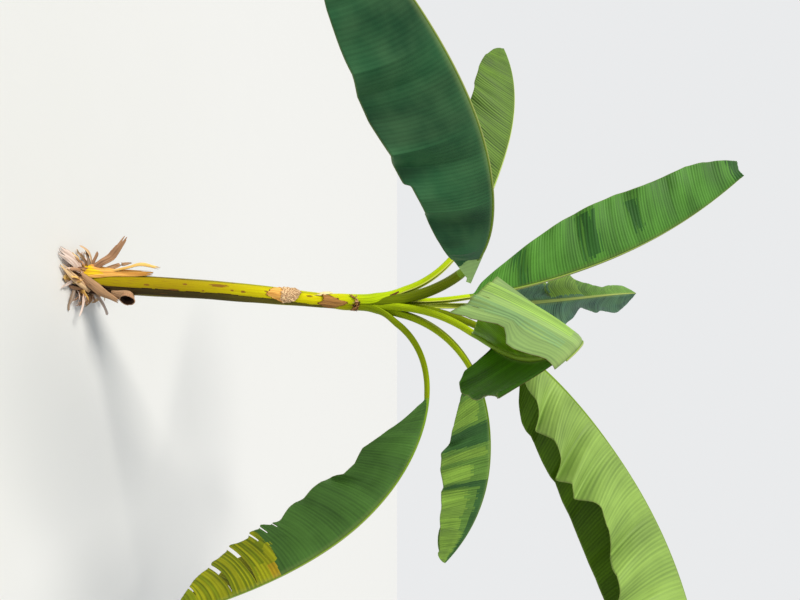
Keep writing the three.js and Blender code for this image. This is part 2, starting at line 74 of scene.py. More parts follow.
# Each leaf as in the part's source. foot is where its petiole starts, seen from the crown. pitch and
# heading turn its line at the petiole's foot and end and at the blade's middle and tip. right and
# left say how steeply each half blade hangs at its base, middle and tip, wave and waves how high and
# how often its margin waves, and torn that it ends in a torn edge.
# The other values are for its looks alone. stalk is how wide its petiole is at its foot and at the
# blade, stout how slowly its midrib thins, reach where that ends, and bow how far it bows up.
# rib_shade darkens the midrib, and shade darkens the petiole and the yellow of its sheath with
# painted shade where other leaves shade them. wrap is the half angle that its sheath goes round the
# stem, low down and at the fork, proud how far it stands out of it, leaves_at where it starts to
# leave it, and brown where its margins are rotten.
# An edge says how a half blade differs from the plain rule along its midrib: place, part of the
# rule's width, then how much steeper it hangs at the midrib and at its margin, 0 where not given.
# An end says how far the end of the blade reaches, from the midrib out, and ragged how rough it is.
# A cut leaves out what lies past a place along the blade and a share of its width, an overlap folds
# the base over, and steep lets the left half leave its midrib with no shoulder. sweep and lean lay
# the veins towards the tip. Each tear has its side, place, depth and width, and each crease across
# the blade its place and size.
# fade is where along the blade it starts to yellow and where it has done so. tints colour some strips
# between veins: side, from and to along the blade, from and to across it, and the colour. Of these
# colours, sunny and glow are painted sunlight, shade is painted shade and sheen a painted reflection.
# bloom is the strength of the waxy bloom, and look the pleats' height, the strength of the bands, that
# of the veins, and the bands' width; bands and veins are partly painted light and shade of the
# blade's undulations.
LEAVES = {
    "right_low": {
        "foot": (26, -6, -20), "petiole": 510, "blade": 1445, "half_width": 265,
        "pitch": (73, -3, -51, -75), "heading": (352, 349, 321, 305),
        "right": (72, 82, 85), "left": (60, 60, 60), "wave": 10, "waves": 9,
        "tears": (
            (1, 0.775, 0.93, 11), (1, 0.84, 0.9, 11), (1, 0.93, 0.5, 6), (1, 0.7, 0.26, 5),
            (1, 0.66, 0.2, 5), (1, 0.62, 0.14, 5), (-1, 0.7, 0.6, 9), (-1, 0.84, 0.8, 11),
        ),
        "right_edge": (
            (0, 0), (0.02, 1.1), (0.1, 1.17), (0.2, 1.12), (0.27, 0.9, 0, -8), (0.33, 0.84, 0, -14),
            (0.36, 1.0, 0, 10), (0.4, 0.98), (0.5, 0.96), (0.59, 0.88), (0.619, 0.94, 0, 3),
            (0.622, 0.86, 0, -2), (0.659, 0.98, 0, 4), (0.662, 0.88, 0, -2), (0.699, 1.02, 0, 6),
            (0.702, 0.9), (0.74, 0.94), (0.774, 1.02, 0, 2), (0.777, 0.93), (0.838, 1.05, 0, 3),
            (0.842, 0.93), (0.93, 0.98), (1, 1),
        ),
        "creases": ((0.1, 2), (0.22, 3), (0.36, 4), (0.48, 2), (0.6, 2), (0.75, 1)),
        "look": (0.7, 0.35, 0.3, 0.16), "stalk": (40, 31), "rib_shade": 0.9, "shade": 0.55,
        "wrap": (100, 80), "proud": 2.5, "leaves_at": -55, "sweep": 0.035, "fade": (0.7, 0.735),
        "tints": (
            (1, 0.7, 0.73, 0.25, 0.6, "yellowed"), (1, 0.712, 0.735, 0, 0.25, "ochre"),
            (1, 0.735, 0.77, 0, 0.35, "yellowed"),
        ),
    },
    "left_back": {
        "foot": (-24, 4, -20), "petiole": 500, "blade": 1425, "half_width": 270,
        "pitch": (89, 35, 15, -11), "heading": (165, 158, 157, 147),
        "right": (60, 60, 60), "left": (60, 60, 60), "wave": 12, "waves": 8,
        "creases": ((0.3, 2), (0.55, 2), (0.8, 2)),
        "look": (1.0, 0.25, 0.75, 0.1), "stalk": (44, 36), "rib_shade": 1.2, "shade": 1.0,
        "wrap": (145, 106), "proud": 4.5, "leaves_at": -30, "brown": (30, 120),
    },
    "left_front": {
        "foot": (-14, -12, 0), "petiole": 450, "blade": 1660, "half_width": 287,
        "pitch": (100, 28, -21, -47), "heading": (208, 245, 224, 226),
        "right": (60, 60, 60), "left": (57, 61, 57), "wave": 12, "waves": 7,
        "tears": ((1, 0.58, 0.55, 22),),
        "left_edge": (
            (0, 1.0, -50, 30), (0.06, 1.1, -40, 40), (0.11, 1.15, -30, 40), (0.16, 1.14, -6, 10),
            (0.2, 1.12), (0.3, 1.06), (0.415, 1.03), (0.42, 1.1), (0.6, 1.12), (0.7, 1.07), (1, 1),
        ),
        "creases": ((0.13, 8), (0.28, 6), (0.46, 6), (0.66, 6), (0.83, 3)),
        "left_overlap": ((-99, -365, 1842), (18, -240, 1804), (-90, -372, 1703)),
        # Its sheen tint is a painted reflection on its base facet, and its bloom and strong bands also paint
        # the sky's bluish reflection on its waxy face.
        "tints": ((-1, -0.1, 0.085, 0, 1, "sheen"),),
        "look": (0.3, 0.5, 0.12, 0.2), "stalk": (54, 43), "rib_shade": 0.55, "shade": 0.3, "bloom": 0.15,
        "wrap": (90, 76), "proud": -1.5, "leaves_at": 20,
    },
    "right_back": {
        "foot": (20, 10, 10), "petiole": 560, "blade": 1400, "half_width": 285,
        "pitch": (86, 28, -3, -34), "heading": (5, 28, 22, 24),
        "right": (70, 75, 75), "left": (60, 60, 60), "wave": 10, "waves": 8,
        "right_edge": (
            (0, 0), (0.02, 1), (0.1, 1.05), (0.2, 1.03, 0, -4), (0.27, 0.94), (0.3, 0.92, 0, 4),
            (0.315, 1.08), (0.4, 1.0, 0, 4), (0.5, 0.9, 0, -4), (0.6, 0.87, 0, 4), (0.7, 0.82, 0, -4),
            (0.8, 0.76, 0, 4), (0.9, 0.74, 0, -4), (0.95, 0.9), (1, 1),
        ),
        "left_edge": (
            (0, 0), (0.03, 1, -4), (0.25, 0.85, -8), (0.5, 0.75, -12), (0.8, 0.75, -12), (1, 1),
        ),
        "creases": ((0.13, 3), (0.3, 4), (0.42, 3), (0.56, 4), (0.72, 3), (0.86, 2)),
        # Its glow and sunny tints are painted sunlight on the bands between the shadows across it.
        "tints": (
            (1, 0.1, 0.25, 0, 1, "glow"), (1, 0.34, 0.53, 0, 1, "glow"), (1, 0.56, 1.1, 0.2, 1, "glow"),
            (1, 0.12, 0.23, 0.25, 1, "sunny"), (1, 0.36, 0.41, 0.1, 1, "sunny"),
            (1, 0.44, 0.51, 0.35, 1, "sunny"), (1, 0.58, 0.8, 0.4, 1, "sunny"),
            (1, 0.8, 1.0, 0.25, 1, "sunny"),
        ),
        "look": (0.5, 0.3, 0.3, 0.16), "stalk": (44, 35), "rib_shade": 0.8, "shade": 0.8,
        "wrap": (95, 80), "proud": 0.0,
    },
    "front": {
        "foot": (10, -10, 30), "petiole": 480, "blade": 1300, "half_width": 312,
        "pitch": (81, 32, 7, -40), "heading": (287, 296, 255, 290),
        "right": (52, 40, 66), "left": (50, 50, 56), "wave": 6, "waves": 5, "lean": 0.09,
        "torn": True, "ragged": 0.005, "sweep": 0.01, "reach": 0.95,
        "tears": ((1, 0.72, 0.4, 9), (1, 0.862, 0.14, 10), (1, 0.93, 0.12, 9)),
        "left_edge": (
            (0, 0.1), (0.11, 0.12, 15), (0.125, 0.6, 15), (0.15, 1.05, 17), (0.2, 1.15, 14),
            (0.25, 1.13, 9), (0.3, 1.03, 7), (0.4, 0.95, 5), (0.5, 0.92, 3), (0.6, 0.91, 1),
            (0.72, 0.92, -2), (1, 1, -4),
        ),
        "right_end": (
            (0, 1.0), (0.15, 1.005), (0.3, 1.03), (0.42, 1.03), (0.5, 1.01), (0.57, 0.982),
            (0.66, 0.985), (0.75, 1.0), (0.88, 1.015), (1, 1.03),
        ),
        "left_cut": (0.745, 0.0),
        "tints": ((1, 0.735, 0.86, 0.12, 1, "light"), (1, 0.89, 0.93, 0.12, 1, "bloom")),
        "creases": ((0.3, 1), (0.55, 1), (0.71, 2), (0.88, 2), (0.94, 1)),
        "steep": True, "look": (0.3, 0.35, 0.25, 0.06), "stalk": (35, 30), "rib_shade": 0.9,
        "shade": 0.8, "bloom": 0.1, "wrap": (80, 70), "proud": -2.0,
    },
    "up_right": {
        "foot": (4, -4, 40), "petiole": 670, "blade": 1600, "half_width": 300,
        "pitch": (89, 52, 22, -12), "heading": (318, 350, 333, 329),
        "right": (54, 54, 62), "left": (60, 60, 60), "wave": 7, "waves": 8,
        "arched": True,  # the right edge's rows are a cusp, the arch after it, and so on
        "right_edge": (
            (0, 1.3, 25), (0.02, 1.45, 25), (0.035, 1.6, 25), (0.08, 1.5, -2, -6), (0.125, 1.66, 10),
            (0.2, 1.47, -4, -6), (0.27, 1.4, 9), (0.31, 1.36, 0, -4), (0.35, 1.25, 5),
            (0.43, 1.12, -2, -8), (0.55, 1.02, 6), (0.63, 1.3), (0.72, 1.38, 4), (0.82, 1.25, 0, -3),
            (0.9, 1.2, 2), (0.96, 1.1), (1, 1),
        ),
        "left_edge": (
            (0, 2.0), (0.05, 2.1), (0.1, 1.85), (0.15, 1.5), (0.2, 1.37), (0.25, 1.25), (0.3, 1.15),
            (0.4, 1.1), (0.7, 1.12), (1, 1),
        ),
        "creases": ((0.13, 3), (0.28, 3), (0.36, 2), (0.55, 2), (0.72, 2)),
        "look": (0.6, 0.25, 0.3, 0.14), "stalk": (40, 32), "rib_shade": 0.7, "shade": 0.4,
        "wrap": (80, 70), "proud": -4.0,
    },
    "up_left": {
        "foot": (-6, 8, 30), "petiole": 385, "blade": 1600, "half_width": 284,
        "pitch": (97, 80, 64, 54), "heading": (150, 156, 156, 160),
        "right": (60, 60, 60), "left": (66, 66, 66), "wave": 6, "waves": 9,
        "left_edge": (
            (0, 0), (0.03, 1.1), (0.1, 1.05), (0.55, 1.0), (0.62, 0.94), (0.7, 0.91), (0.8, 0.86),
            (0.87, 0.74), (0.92, 0.63), (0.96, 0.5), (1, 0.34),
        ),
        "right_edge": (
            (0, 0), (0.03, 1), (0.6, 0.95), (0.75, 0.8), (0.9, 0.6), (1, 0.45),
        ),
        "left_end": ((0, 1.02), (0.45, 1.012), (1, 1.02)), "right_end": ((0, 1.02), (1, 0.98)),
        "torn": True, "bow": 26, "reach": 1.012,
        "creases": ((0.17, 2), (0.37, 4), (0.55, 4), (0.72, 2), (0.9, 2)),
        # Its shade tints are painted shade: dark bands where its creases turn away, and its curled margin at
        # the tip.
        "tints": (
            (-1, 0.16, 0.185, 0, 1, "shade"), (-1, 0.39, 0.445, 0.15, 0.9, "shade"),
            (-1, 0.58, 0.615, 0.25, 0.8, "shade"), (-1, 0.97, 1.1, 0, 1, "shade"),
        ),
        "look": (0.8, 0.4, 0.4, 0.12), "stalk": (36, 30), "rib_shade": 0.7, "shade": 1.25,
        "wrap": (80, 70), "proud": -3.0,
    },
    "up_back": {
        "foot": (2, 14, 30), "petiole": 395, "blade": 1330, "half_width": 260,
        "pitch": (82, 65, 61, 47), "heading": (75, 90, 99, 92),
        "right": (58, 58, 34), "left": (58, 58, 58), "wave": 9, "waves": 7,
        "tears": ((-1, 0.43, 0.85, -110), (1, 0.47, 0.4, -50)), "lean": 0.5, "sweep": 0.06,
        "tints": ((-1, 0.435, 0.62, 0.1, 1, "sunny"), (-1, 0.62, 1.1, 0, 1, "glow")), "stout": 1.4,
        "right_edge": (
            (0, 0), (0.03, 1), (0.3, 1.0, -20), (0.4, 1.05, -30), (0.465, 1.04, -28),
            (0.475, 0.94, -20), (0.56, 0.88, -8), (0.61, 0.8), (0.67, 0.74), (0.72, 0.86), (0.8, 1.08),
            (0.9, 1.3), (1, 1.2),
        ),
        "left_edge": (
            (0, 0), (0.03, 1), (0.25, 1.0), (0.35, 0.78, 4), (0.425, 0.6, 5), (0.435, 0.58),
            (0.48, 0.76), (0.53, 0.84, 0, -6), (0.6, 0.68), (0.66, 0.42), (0.72, 0.4), (0.8, 0.58),
            (0.9, 0.88), (1, 1.1),
        ),
        "creases": ((0.2, 4), (0.43, 4), (0.62, 3), (0.8, 3)),
        "look": (0.9, 0.5, 0.6, 0.06), "stalk": (32, 27), "rib_shade": 1.0, "shade": 1.0, "bloom": 0.4,
        "wrap": (80, 70), "proud": -5.0,
    },
}
BLADE = {"curl": 12, "lean": 0.15, "sweep": 0.025, "widest": 0.5, "least": 0.13}
PLAIN_EDGE = ((0, 0), (0.02, 1), (1, 1))
PARTS = (0, 0.5, 1)  # along a blade: base, middle and tip
WALK = 5  # step of the walk along a leaf's line
ROWS_PER_PLEAT = 5
BEND_STEPS = 24  # steps in which a half blade's bend is added up from its midrib out
SHOULDER = 0.09  # how far out a half blade reaches its full slope

# The slots of a leaf's materials, before those of the tints. A soft tint strays further at its ends.
UPPER, UNDER_RIGHT, TORN_EDGE, UNDER_LEFT, FIRST_TINT = range(5)
# Of the tints, sunny and glow are painted sunlight, shade is painted shade and sheen a painted reflection.
TINTS = ("faded", "yellowed", "ochre", "light", "bloom", "sheen", "glow", "sunny", "shade")
SOFT_TINTS = {"light", "bloom", "shade"}
TINT_LOOK = (0.5, 0.18, 0.45, 0.08)
SHEEN_LOOK = (0.3, 0.08, 0.12, 0.2)
DULL = 0.56  # roughness of an under side

# How a sheath leaves the stem: its foot, where it has its last width, and the length over which it opens
SHEATH = {"foot": -250, "fork": 40, "leaves_at": -90, "opening": 190}

# Strips of dry sheath as in the part's source, with their skin, how frayed their ends are, the
# strength of their crinkles, and how far up a yellow patch reaches
STRIPS = {
    "sheath_peeled": {
        "points": ((-52, -62, 5), (-48, -50, 70), (-43, -37, 160), (-39, -29, 250), (-38, -26, 352)),
        "width": (56, 72, 44, 34, 20), "face": (-0.45, -0.89, 0), "cup": 7,
        "skin": "orange", "patch": 0.36,
    },
    "sheath_curled": {
        "points": ((-48, -30, 150), (-62, -36, 225), (-78, -40, 300), (-60, -36, 388)),
        "width": (14, 19, 21, 12), "face": (-0.6, -0.8, 0.1), "cup": 3,
        "skin": "straw",
    },
    "sheath_flap_left": {
        "points": ((-44, -20, 30), (-84, -40, 110), (-124, -56, 180), (-205, -70, 246)),
        "width": (36, 38, 36, 28), "face": (-0.5, -0.6, 0.65), "cup": 6,
        "skin": "tan", "frayed": 0.4, "relief": 1.8,
    },
    "sheath_flap_front": {
        "points": ((-30, -45, 40), (-88, -112, 36), (-134, -188, 9)),
        "width": (40, 50, 46), "face": (0, -0.2, 1), "cup": 4,
        "skin": "pink", "frayed": 0.4, "relief": 1.5,
    },
    "sheath_straw_front": {
        "points": ((46, -38, 66), (0, -104, 46), (-68, -178, 9)),
        "width": (26, 30, 20), "face": (0.1, -0.4, 0.9), "cup": 4,
        "skin": "cream", "frayed": 0.3,
    },
    "sheath_wrap": {
        "points": ((-42, -72, 6), (2, -72, 66), (50, -58, 120), (98, -34, 196)),
        "width": (30, 44, 42, 22), "face": (0.2, -0.97, 0.1), "cup": 10,
        "skin": "brown", "relief": 1.4,
    },
    "sheath_flap_back": {
        "points": ((-26, 44, 26), (-66, 92, 105), (-92, 150, 150), (-98, 205, 150)),
        "width": (26, 24, 16, 8), "face": (-0.3, 0.75, 0.6), "cup": 4,
        "skin": "brown", "frayed": 0.45,
    },
    "sheath_straw_back": {
        "points": ((20, 44, 30), (46, 112, 44), (60, 186, 9)),
        "width": (34, 42, 26), "face": (0.2, 0.2, 0.95), "cup": 4,
        "skin": "cream",
    },
    "sheath_upright_back": {
        "points": ((30, 44, 6), (38, 56, 90), (44, 52, 190), (50, 54, 290)),
        "width": (46, 50, 34, 14), "face": (0.4, 0.9, 0), "cup": 8,
        "skin": "orange",
    },
}
# Remains of sheaths on the stem: azimuth, lowest and highest point there, then how far they stand out
# of the stem below and above, the height from which they are crumpled, and the skins of their
# crumpled part, of their smooth part, of their under side, of their burnt edge and of their crevices.
# The crevices' darker skin is painted shade.
SCARS = {
    "scar_collar": {
        "edge": (
            (198, 945, 1008), (206, 920, 1028), (222, 902, 1040), (242, 893, 1038), (262, 880, 1031),
            (276, 893, 1020), (290, 925, 1006), (300, 938, 985), (309, 952, 962),
        ),
        "proud": (3.5, 9), "crumpled": 944, "skins": ("cream", "orange", "dark", "burnt", "brown"),
    },
    "scar_knot": {
        "edge": (
            (216, 1264, 1274), (232, 1276, 1288), (250, 1286, 1300), (268, 1292, 1310), (284, 1292, 1313),
            (300, 1284, 1306), (316, 1276, 1300), (330, 1270, 1286),
        ),
        "proud": (5, 9), "crumpled": 1200, "skins": ("scar", "scar", "dark", "burnt", "dark"),
    },
    "scar_upper": {
        "edge": (
            (224, 1139, 1152), (240, 1141, 1200), (256, 1147, 1226), (268, 1143, 1257), (277, 1134, 1257),
            (286, 1122, 1240), (293, 1117, 1230), (303, 1128, 1220), (313, 1146, 1200), (322, 1168, 1178),
        ),
        "proud": (7, 7), "crumpled": 1400, "skins": ("cream", "scar", "dark", "burnt", "brown"),
    },
}
# The pale lip of the sheath beside the upper scar; its paleness is partly a painted highlight.
LIP = {
    "points": ((67, -17, 1080), (60, -19, 1135), (54, -16, 1186)), "width": (14, 28, 22),
    "face": (-0.9, -0.45, 0.1), "cup": -4, "skin": "lip", "rim": "lip", "frayed": 0.2, "relief": 0.6,
}
# Tufts of dry shreds: how many, height and azimuth of their middle, and how far they spread from it,
# then their length, width and pitch at the start, each from and to, and how far they swing aside
TUFTS = {
    "shreds_left": (20, 30, 215, 24, 38, (55, 150), (9, 24), (-25, 45), 35),
    "shreds_front": (18, 24, 280, 20, 38, (50, 140), (8, 22), (-25, 30), 45),
    "shreds_right": (14, 30, 345, 26, 40, (40, 100), (8, 22), (-15, 60), 45),
    "shreds_back": (28, 26, 90, 22, 75, (45, 140), (8, 24), (-25, 45), 40),
    "shreds_knot": (24, 1296, 285, 10, 46, (14, 32), (4, 9), (-30, 60), 85),
}
STUB = {"points": ((50, -12, 168), (64, -24, 230), (94, -66, 250)), "radius": 27}
# The dry skins: the colours of their streaks and of their specks, and how much of them is specked
DRY_SKINS = {
    "orange": ("dry_rust", "rust", 0.36),
    "yellow": ("yellow_streak", "rust", 0.3),
    "straw": ("dry_orange", "dry_brown", 0.28),
    "tan": ("tan_streak", "dry_brown", 0.34),
    "pink": ("pink_streak", "dry_brown", 0.3),
    "cream": ("dry_tan", "dry_brown", 0.28),
    "brown": ("dry_tan", "dark", 0.38),
    "grey": ("dry_brown", "dark", 0.3),
    "scar": ("scar_streak", "rust", 0.34),
    "burnt": ("rust", "dark", 0.34),
    "lip": ("dry_cream", "dry_tan", 0.2),
}
GROUND_SKINS = ("cream", "tan", "pink", "brown", "grey", "straw", "cream", "tan")
KNOT_SKINS = ("brown", "dark", "burnt", "tan")



def colour(name, description, default):
    """A colour that a user can change."""
    return FloatVectorProperty(
        name=name, description=description, default=default, subtype="COLOR", size=3, min=0, max=1
    )


def length(name, description, default):
    """A length in metres that a user can change."""
    return FloatProperty(name=name, description=description, default=default, unit="LENGTH", min=0)


class PlantSizes(PropertyGroup):
    """Sizes of the fine shapes."""

    lamina: length("Lamina", "Thickness of a leaf's blade", 0.0011)
    pleat: length("Pleat", "Width of a pleat between two main veins", PLEAT)
    pleat_height: length("Pleat height", "Height of the pleats", 0.0009)
    ripple_height: length("Ripple height", "Height of the small ripples in a margin", 0.0028)
    sheath_step: length("Sheath step", "Step at the edge of a sheath on the stem", 0.0022)
    fibre_height: length("Fibre height", "Height of the fibres of the stem", 0.0003)
    dry_thickness: length("Dry sheath", "Thickness of a dry sheath", 0.0018)


# Each leaf's title, and the colours of its upper and under side. The left front leaf's dark upper side
# is partly its own dark green and partly painted shade, the upper right leaf's dark under side is
# painted shade, and the front leaf's bright under side is painted light shining through its right half.
LEAF_COLOURS = {
    "right_low": ("Low right", (0.05, 0.135, 0.026), (0.1, 0.2, 0.04)),
    "left_back": ("Left back", (0.085, 0.17, 0.022), (0.1, 0.2, 0.04)),
    "left_front": ("Left front", (0.018, 0.086, 0.038), (0.08, 0.17, 0.05)),
    "right_back": ("Right back", (0.042, 0.13, 0.036), (0.1, 0.2, 0.04)),
    "front": ("Front", (0.2, 0.33, 0.11), (0.11, 0.27, 0.002)),
    "up_right": ("Upper right", (0.19, 0.32, 0.075), (0.05, 0.12, 0.004)),
    "up_left": ("Upper left", (0.056, 0.185, 0.024), (0.18, 0.32, 0.03)),
    "up_back": ("Upper back", (0.08, 0.195, 0.13), (0.13, 0.25, 0.06)),
}


def leaf_colours():
    """The colours of every leaf that a user can change."""
    # The dark under side of the front leaf's left half is painted shade.
    dark = colour("Front, below, left", "Under side of the front leaf's left half", (0.035, 0.13, 0.001))
    made = {"front_under_left": dark}
    for name, (title, upper, under) in LEAF_COLOURS.items():
        made[name] = colour(title, f"Upper side of the {title.lower()} leaf", upper)
        made[name + "_under"] = colour(title + ", below", f"Under side of the {title.lower()} leaf", under)
    return made


class LeafColours(PropertyGroup):
    """Colours of the leaves, upper and under side."""

    __annotations__ = leaf_colours()


class PlantColours(PropertyGroup):
    """Colours of the stem, the midribs and the dry pieces."""

    midrib: colour("Midrib", "Pale midrib of a leaf, from above", (0.42, 0.52, 0.15))
    midrib_under: colour("Midrib, below", "Its under side", (0.2, 0.34, 0.02))
    petiole: colour("Petiole", "Sunny side of a petiole", (0.38, 0.51, 0.004))
    rim: colour("Petiole rim", "Pale rims of a petiole's channel", (0.66, 0.62, 0.16))
    # The groove's near-black olive is painted shade in a petiole's channel.
    groove_shade: colour("Groove", "Channel of a petiole", (0.07, 0.08, 0.012))
    stem: colour("Stem", "Young sheath on the stem", (0.68, 0.66, 0.004))
    # The old sheath's dark olive is partly its own colour and partly painted shade on the stem's right side.
    stem_olive: colour("Old sheath", "Older, darker sheath on the stem", (0.1, 0.09, 0.012))
    stem_green: colour("Green sheath", "Greener sheath on the stem", (0.3, 0.31, 0.015))
    rust: colour("Rust", "Brown streaks and spots of the stem", (0.2, 0.075, 0.015))
    # The maroon of a sheath's rotted edge is partly rot and partly painted shade in the gap beside the next
    # sheath.
    maroon: colour("Maroon", "Rotted edge of a sheath", (0.06, 0.018, 0.012))
    dry_orange: colour("Dry orange", "Orange dry sheath", (0.98, 0.57, 0.14))
    dry_yellow: colour("Dry yellow", "Yellow foot of the peeled sheath", (1.0, 0.76, 0.01))
    dry_rust: colour("Dry rust", "Darker streaks of an orange sheath", (0.6, 0.25, 0.05))
    dry_straw: colour("Dry straw", "Straw-coloured thin sheath", (0.8, 0.56, 0.2))
    dry_tan: colour("Dry tan", "Tan dry sheath", (0.58, 0.34, 0.19))
    dry_pink: colour("Dry pink", "Pinkish grey dry sheath", (0.84, 0.72, 0.65))
    dry_cream: colour("Dry cream", "Bleached dry sheath", (0.88, 0.66, 0.36))
    dry_brown: colour("Dry brown", "Brown dry sheath", (0.26, 0.15, 0.07))
    dry_grey: colour("Dry grey", "Grey rotten sheath", (0.36, 0.3, 0.26))
    dry_scar: colour("Dry scar", "Brown scar on the stem", (0.48, 0.23, 0.06))
    dry_burnt: colour("Dry burnt", "Dark red-brown torn edge", (0.13, 0.035, 0.014))
    # The lip's pale yellow is partly a painted highlight on its curled edge.
    dry_lip: colour("Dry lip", "Pale lip of a torn sheath", (0.85, 0.8, 0.38))
    # Dark is the rotted brown of edges, and also painted shade in hollows: inside the stub, in the knot's
    # crevices and at the stem's foot behind the stub.
    dark: colour("Dark", "Rotted brown of edges and hollows", (0.035, 0.017, 0.008))
    leaf_edge: colour("Leaf edge", "Margin of a whole leaf", (0.2, 0.26, 0.05))
    torn_edge: colour("Torn edge", "Margin of a torn leaf", (0.12, 0.05, 0.03))
    stem_streak: colour("Stem, streaks", "Streaks of a young sheath", (0.58, 0.46, 0.004))
    olive_streak: colour("Old sheath, streaks", "Streaks of an old sheath", (0.2, 0.17, 0.015))
    midrib_streak: colour("Midrib, streaks", "Streaks of a midrib, from above", (0.36, 0.42, 0.08))
    under_streak: colour("Midrib below, streaks", "Streaks of a midrib, from below", (0.12, 0.22, 0.012))
    leaf_edge_streak: colour("Leaf edge, streaks", "Streaks of a leaf's margin", (0.14, 0.16, 0.03))
    torn_edge_streak: colour("Torn edge, streaks", "Streaks of a torn margin", (0.2, 0.12, 0.04))
    dark_streak: colour("Dark, streaks", "Streaks of rotted edges", (0.1, 0.05, 0.03))
    yellow_streak: colour("Dry yellow, streaks", "Streaks of the yellow foot", (0.62, 0.3, 0.02))
    tan_streak: colour("Dry tan, streaks", "Streaks of a tan sheath", (0.42, 0.22, 0.12))
    pink_streak: colour("Dry pink, streaks", "Streaks of a pinkish sheath", (0.68, 0.48, 0.38))
    scar_streak: colour("Dry scar, streaks", "Streaks of a scar", (0.3, 0.14, 0.045))
    faded: colour("Faded", "Leaf that turns olive", (0.15, 0.2, 0.006))
    yellowed: colour("Yellowed", "Leaf that has turned yellow", (0.25, 0.28, 0.008))
    ochre: colour("Ochre", "Leaf that has turned brown", (0.36, 0.27, 0.012))
    bloom: colour("Bloom", "Waxy blue-green bloom", (0.17, 0.31, 0.13))
    light: colour("Light", "Brighter veins of a leaf", (0.22, 0.39, 0.085))
    # Sheen is a painted reflection of the sky on a leaf's waxy base.
    sheen: colour("Sheen", "Paler base of a leaf", (0.31, 0.51, 0.21))
    # Glow is painted sunlight at the borders of a leaf's bright bands.
    glow: colour("Glow", "Borders of a leaf's bright bands", (0.12, 0.26, 0.05))
    # Sunny is painted sunlight on a leaf's bright bands.
    sunny: colour("Sunny", "Yellow-green bands of a leaf", (0.2, 0.37, 0.06))
    # Shade is painted shade on a leaf's dark bands and curled margin.
    shade: colour("Shade", "Dark bands of a leaf", (0.024, 0.1, 0.018))
    floor: colour("Floor", "Studio floor", (0.8, 0.79, 0.77))


def ease(values, stations, place):
    """A smooth curve through the values at the given stations, read at some places."""
    values = np.asarray(values, float)
    stations = np.asarray(stations, float)
    place = np.asarray(place, float)
    index = np.arange(len(values))
    before = np.maximum(0, index - 1)
    after = np.minimum(index[-1], index + 1)
    slope = (values[after] - values[before]) / (stations[after] - stations[before])
    k = np.searchsorted(stations[1:-1], place, side="left")
    span = stations[k + 1] - stations[k]
    u = np.clip((place - stations[k]) / span, 0, 1)
    start = (2 * u**3 - 3 * u**2 + 1) * values[k]
    leaving = (u**3 - 2 * u**2 + u) * span * slope[k]
    end = (3 * u**2 - 2 * u**3) * values[k + 1]
    arriving = (u**3 - u**2) * span * slope[k + 1]
    return start + leaving + end + arriving


def smooth(value):
    """0 up to 0, 1 from 1 on, and a soft rise between them."""
    value = np.clip(value, 0, 1)
    return value * value * (3 - 2 * value)


def noise(seed, first, second=0.0):
    """Smooth random values from -1 to 1 that change over about one unit of either coordinate."""
    table = np.random.default_rng(seed).uniform(-1, 1, (64, 64))
    x, y = np.broadcast_arrays(np.asarray(first, float), np.asarray(second, float))
    i = np.floor(x).astype(int)
    j = np.floor(y).astype(int)
    f = smooth(x - i)
    g = smooth(y - j)

    def corner(a, b):
        return table[(i + a) % 64, (j + b) % 64]

    low = corner(0, 0) * (1 - f) + corner(1, 0) * f
    high = corner(0, 1) * (1 - f) + corner(1, 1) * f
    return low * (1 - g) + high * g


def unit(vectors):
    """The vectors at length 1."""
    return vectors / np.maximum(np.linalg.norm(vectors, axis=-1, keepdims=True), 1e-12)


def spokes(azimuth):
    """The level directions at some azimuths in radians."""
    return np.stack([np.cos(azimuth), np.sin(azimuth), np.zeros_like(azimuth)], -1)


def full_turn(sides):
    """The angles of the points of a ring, in radians."""
    return 2 * math.pi * np.arange(sides) / sides


def pairs(first, second):
    """Two sets of values over one grid, as places on a map."""
    return np.stack(np.broadcast_arrays(first, second), -1)


class Shell:
    """Grids of points joined into one mesh, with their materials and maps."""

    def __init__(self):
        self.points = []
        self.faces = []
        self.slots = []
        self.pattern = []
        self.bake = []
        self.count = 0

    def add(self, points, faces, slots, pattern, bake):
        """Adds points, four-cornered faces that count from 0, and for each corner two map places."""
        self.points.append(points)
        self.faces.append(faces + self.count)
        self.slots.append(np.broadcast_to(slots, len(faces)))
        self.pattern.append(pattern)
        self.bake.append(bake)
        self.count += len(points)

    def make(self, name, materials, *nodes, slot):
        """Makes the object, which stands for the given nodes and rides on the plant's body."""
        points = np.concatenate(self.points) * MM
        faces = np.concatenate(self.faces)
        mesh = bpy.data.meshes.new(name)
        mesh.vertices.add(len(points))
        mesh.vertices.foreach_set("co", points.astype(np.float32).ravel())
        mesh.loops.add(faces.size)
        mesh.loops.foreach_set("vertex_index", faces.astype(np.int32).ravel())
        mesh.polygons.add(len(faces))
        mesh.polygons.foreach_set("loop_start", np.arange(0, faces.size, 4, dtype=np.int32))
        mesh.polygons.foreach_set("material_index", np.concatenate(self.slots).astype(np.int32))
        for map_name, parts in ((PATTERN, self.pattern), (BAKE, self.bake)):
            layer = mesh.uv_layers.new(name=map_name)
            layer.uv.foreach_set("vector", np.concatenate(parts).astype(np.float32).ravel())
        for material in materials:
            mesh.materials.append(material)
        mesh.update(calc_edges=True)
        mesh.shade_smooth()
        piece = bpy.data.objects.new(name, mesh)
        bpy.context.scene.collection.objects.link(piece)
        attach(piece, BODY)
        if nodes:
            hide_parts(*nodes)
        return piece


def corners(grid, rows, columns):
    """The four corners of each face of a grid, whose index is grid[row, column]."""
    steps = ((0, 0), (0, 1), (1, 1), (1, 0))
    return np.stack([grid[rows + down, columns + right] for down, right in steps], -1)


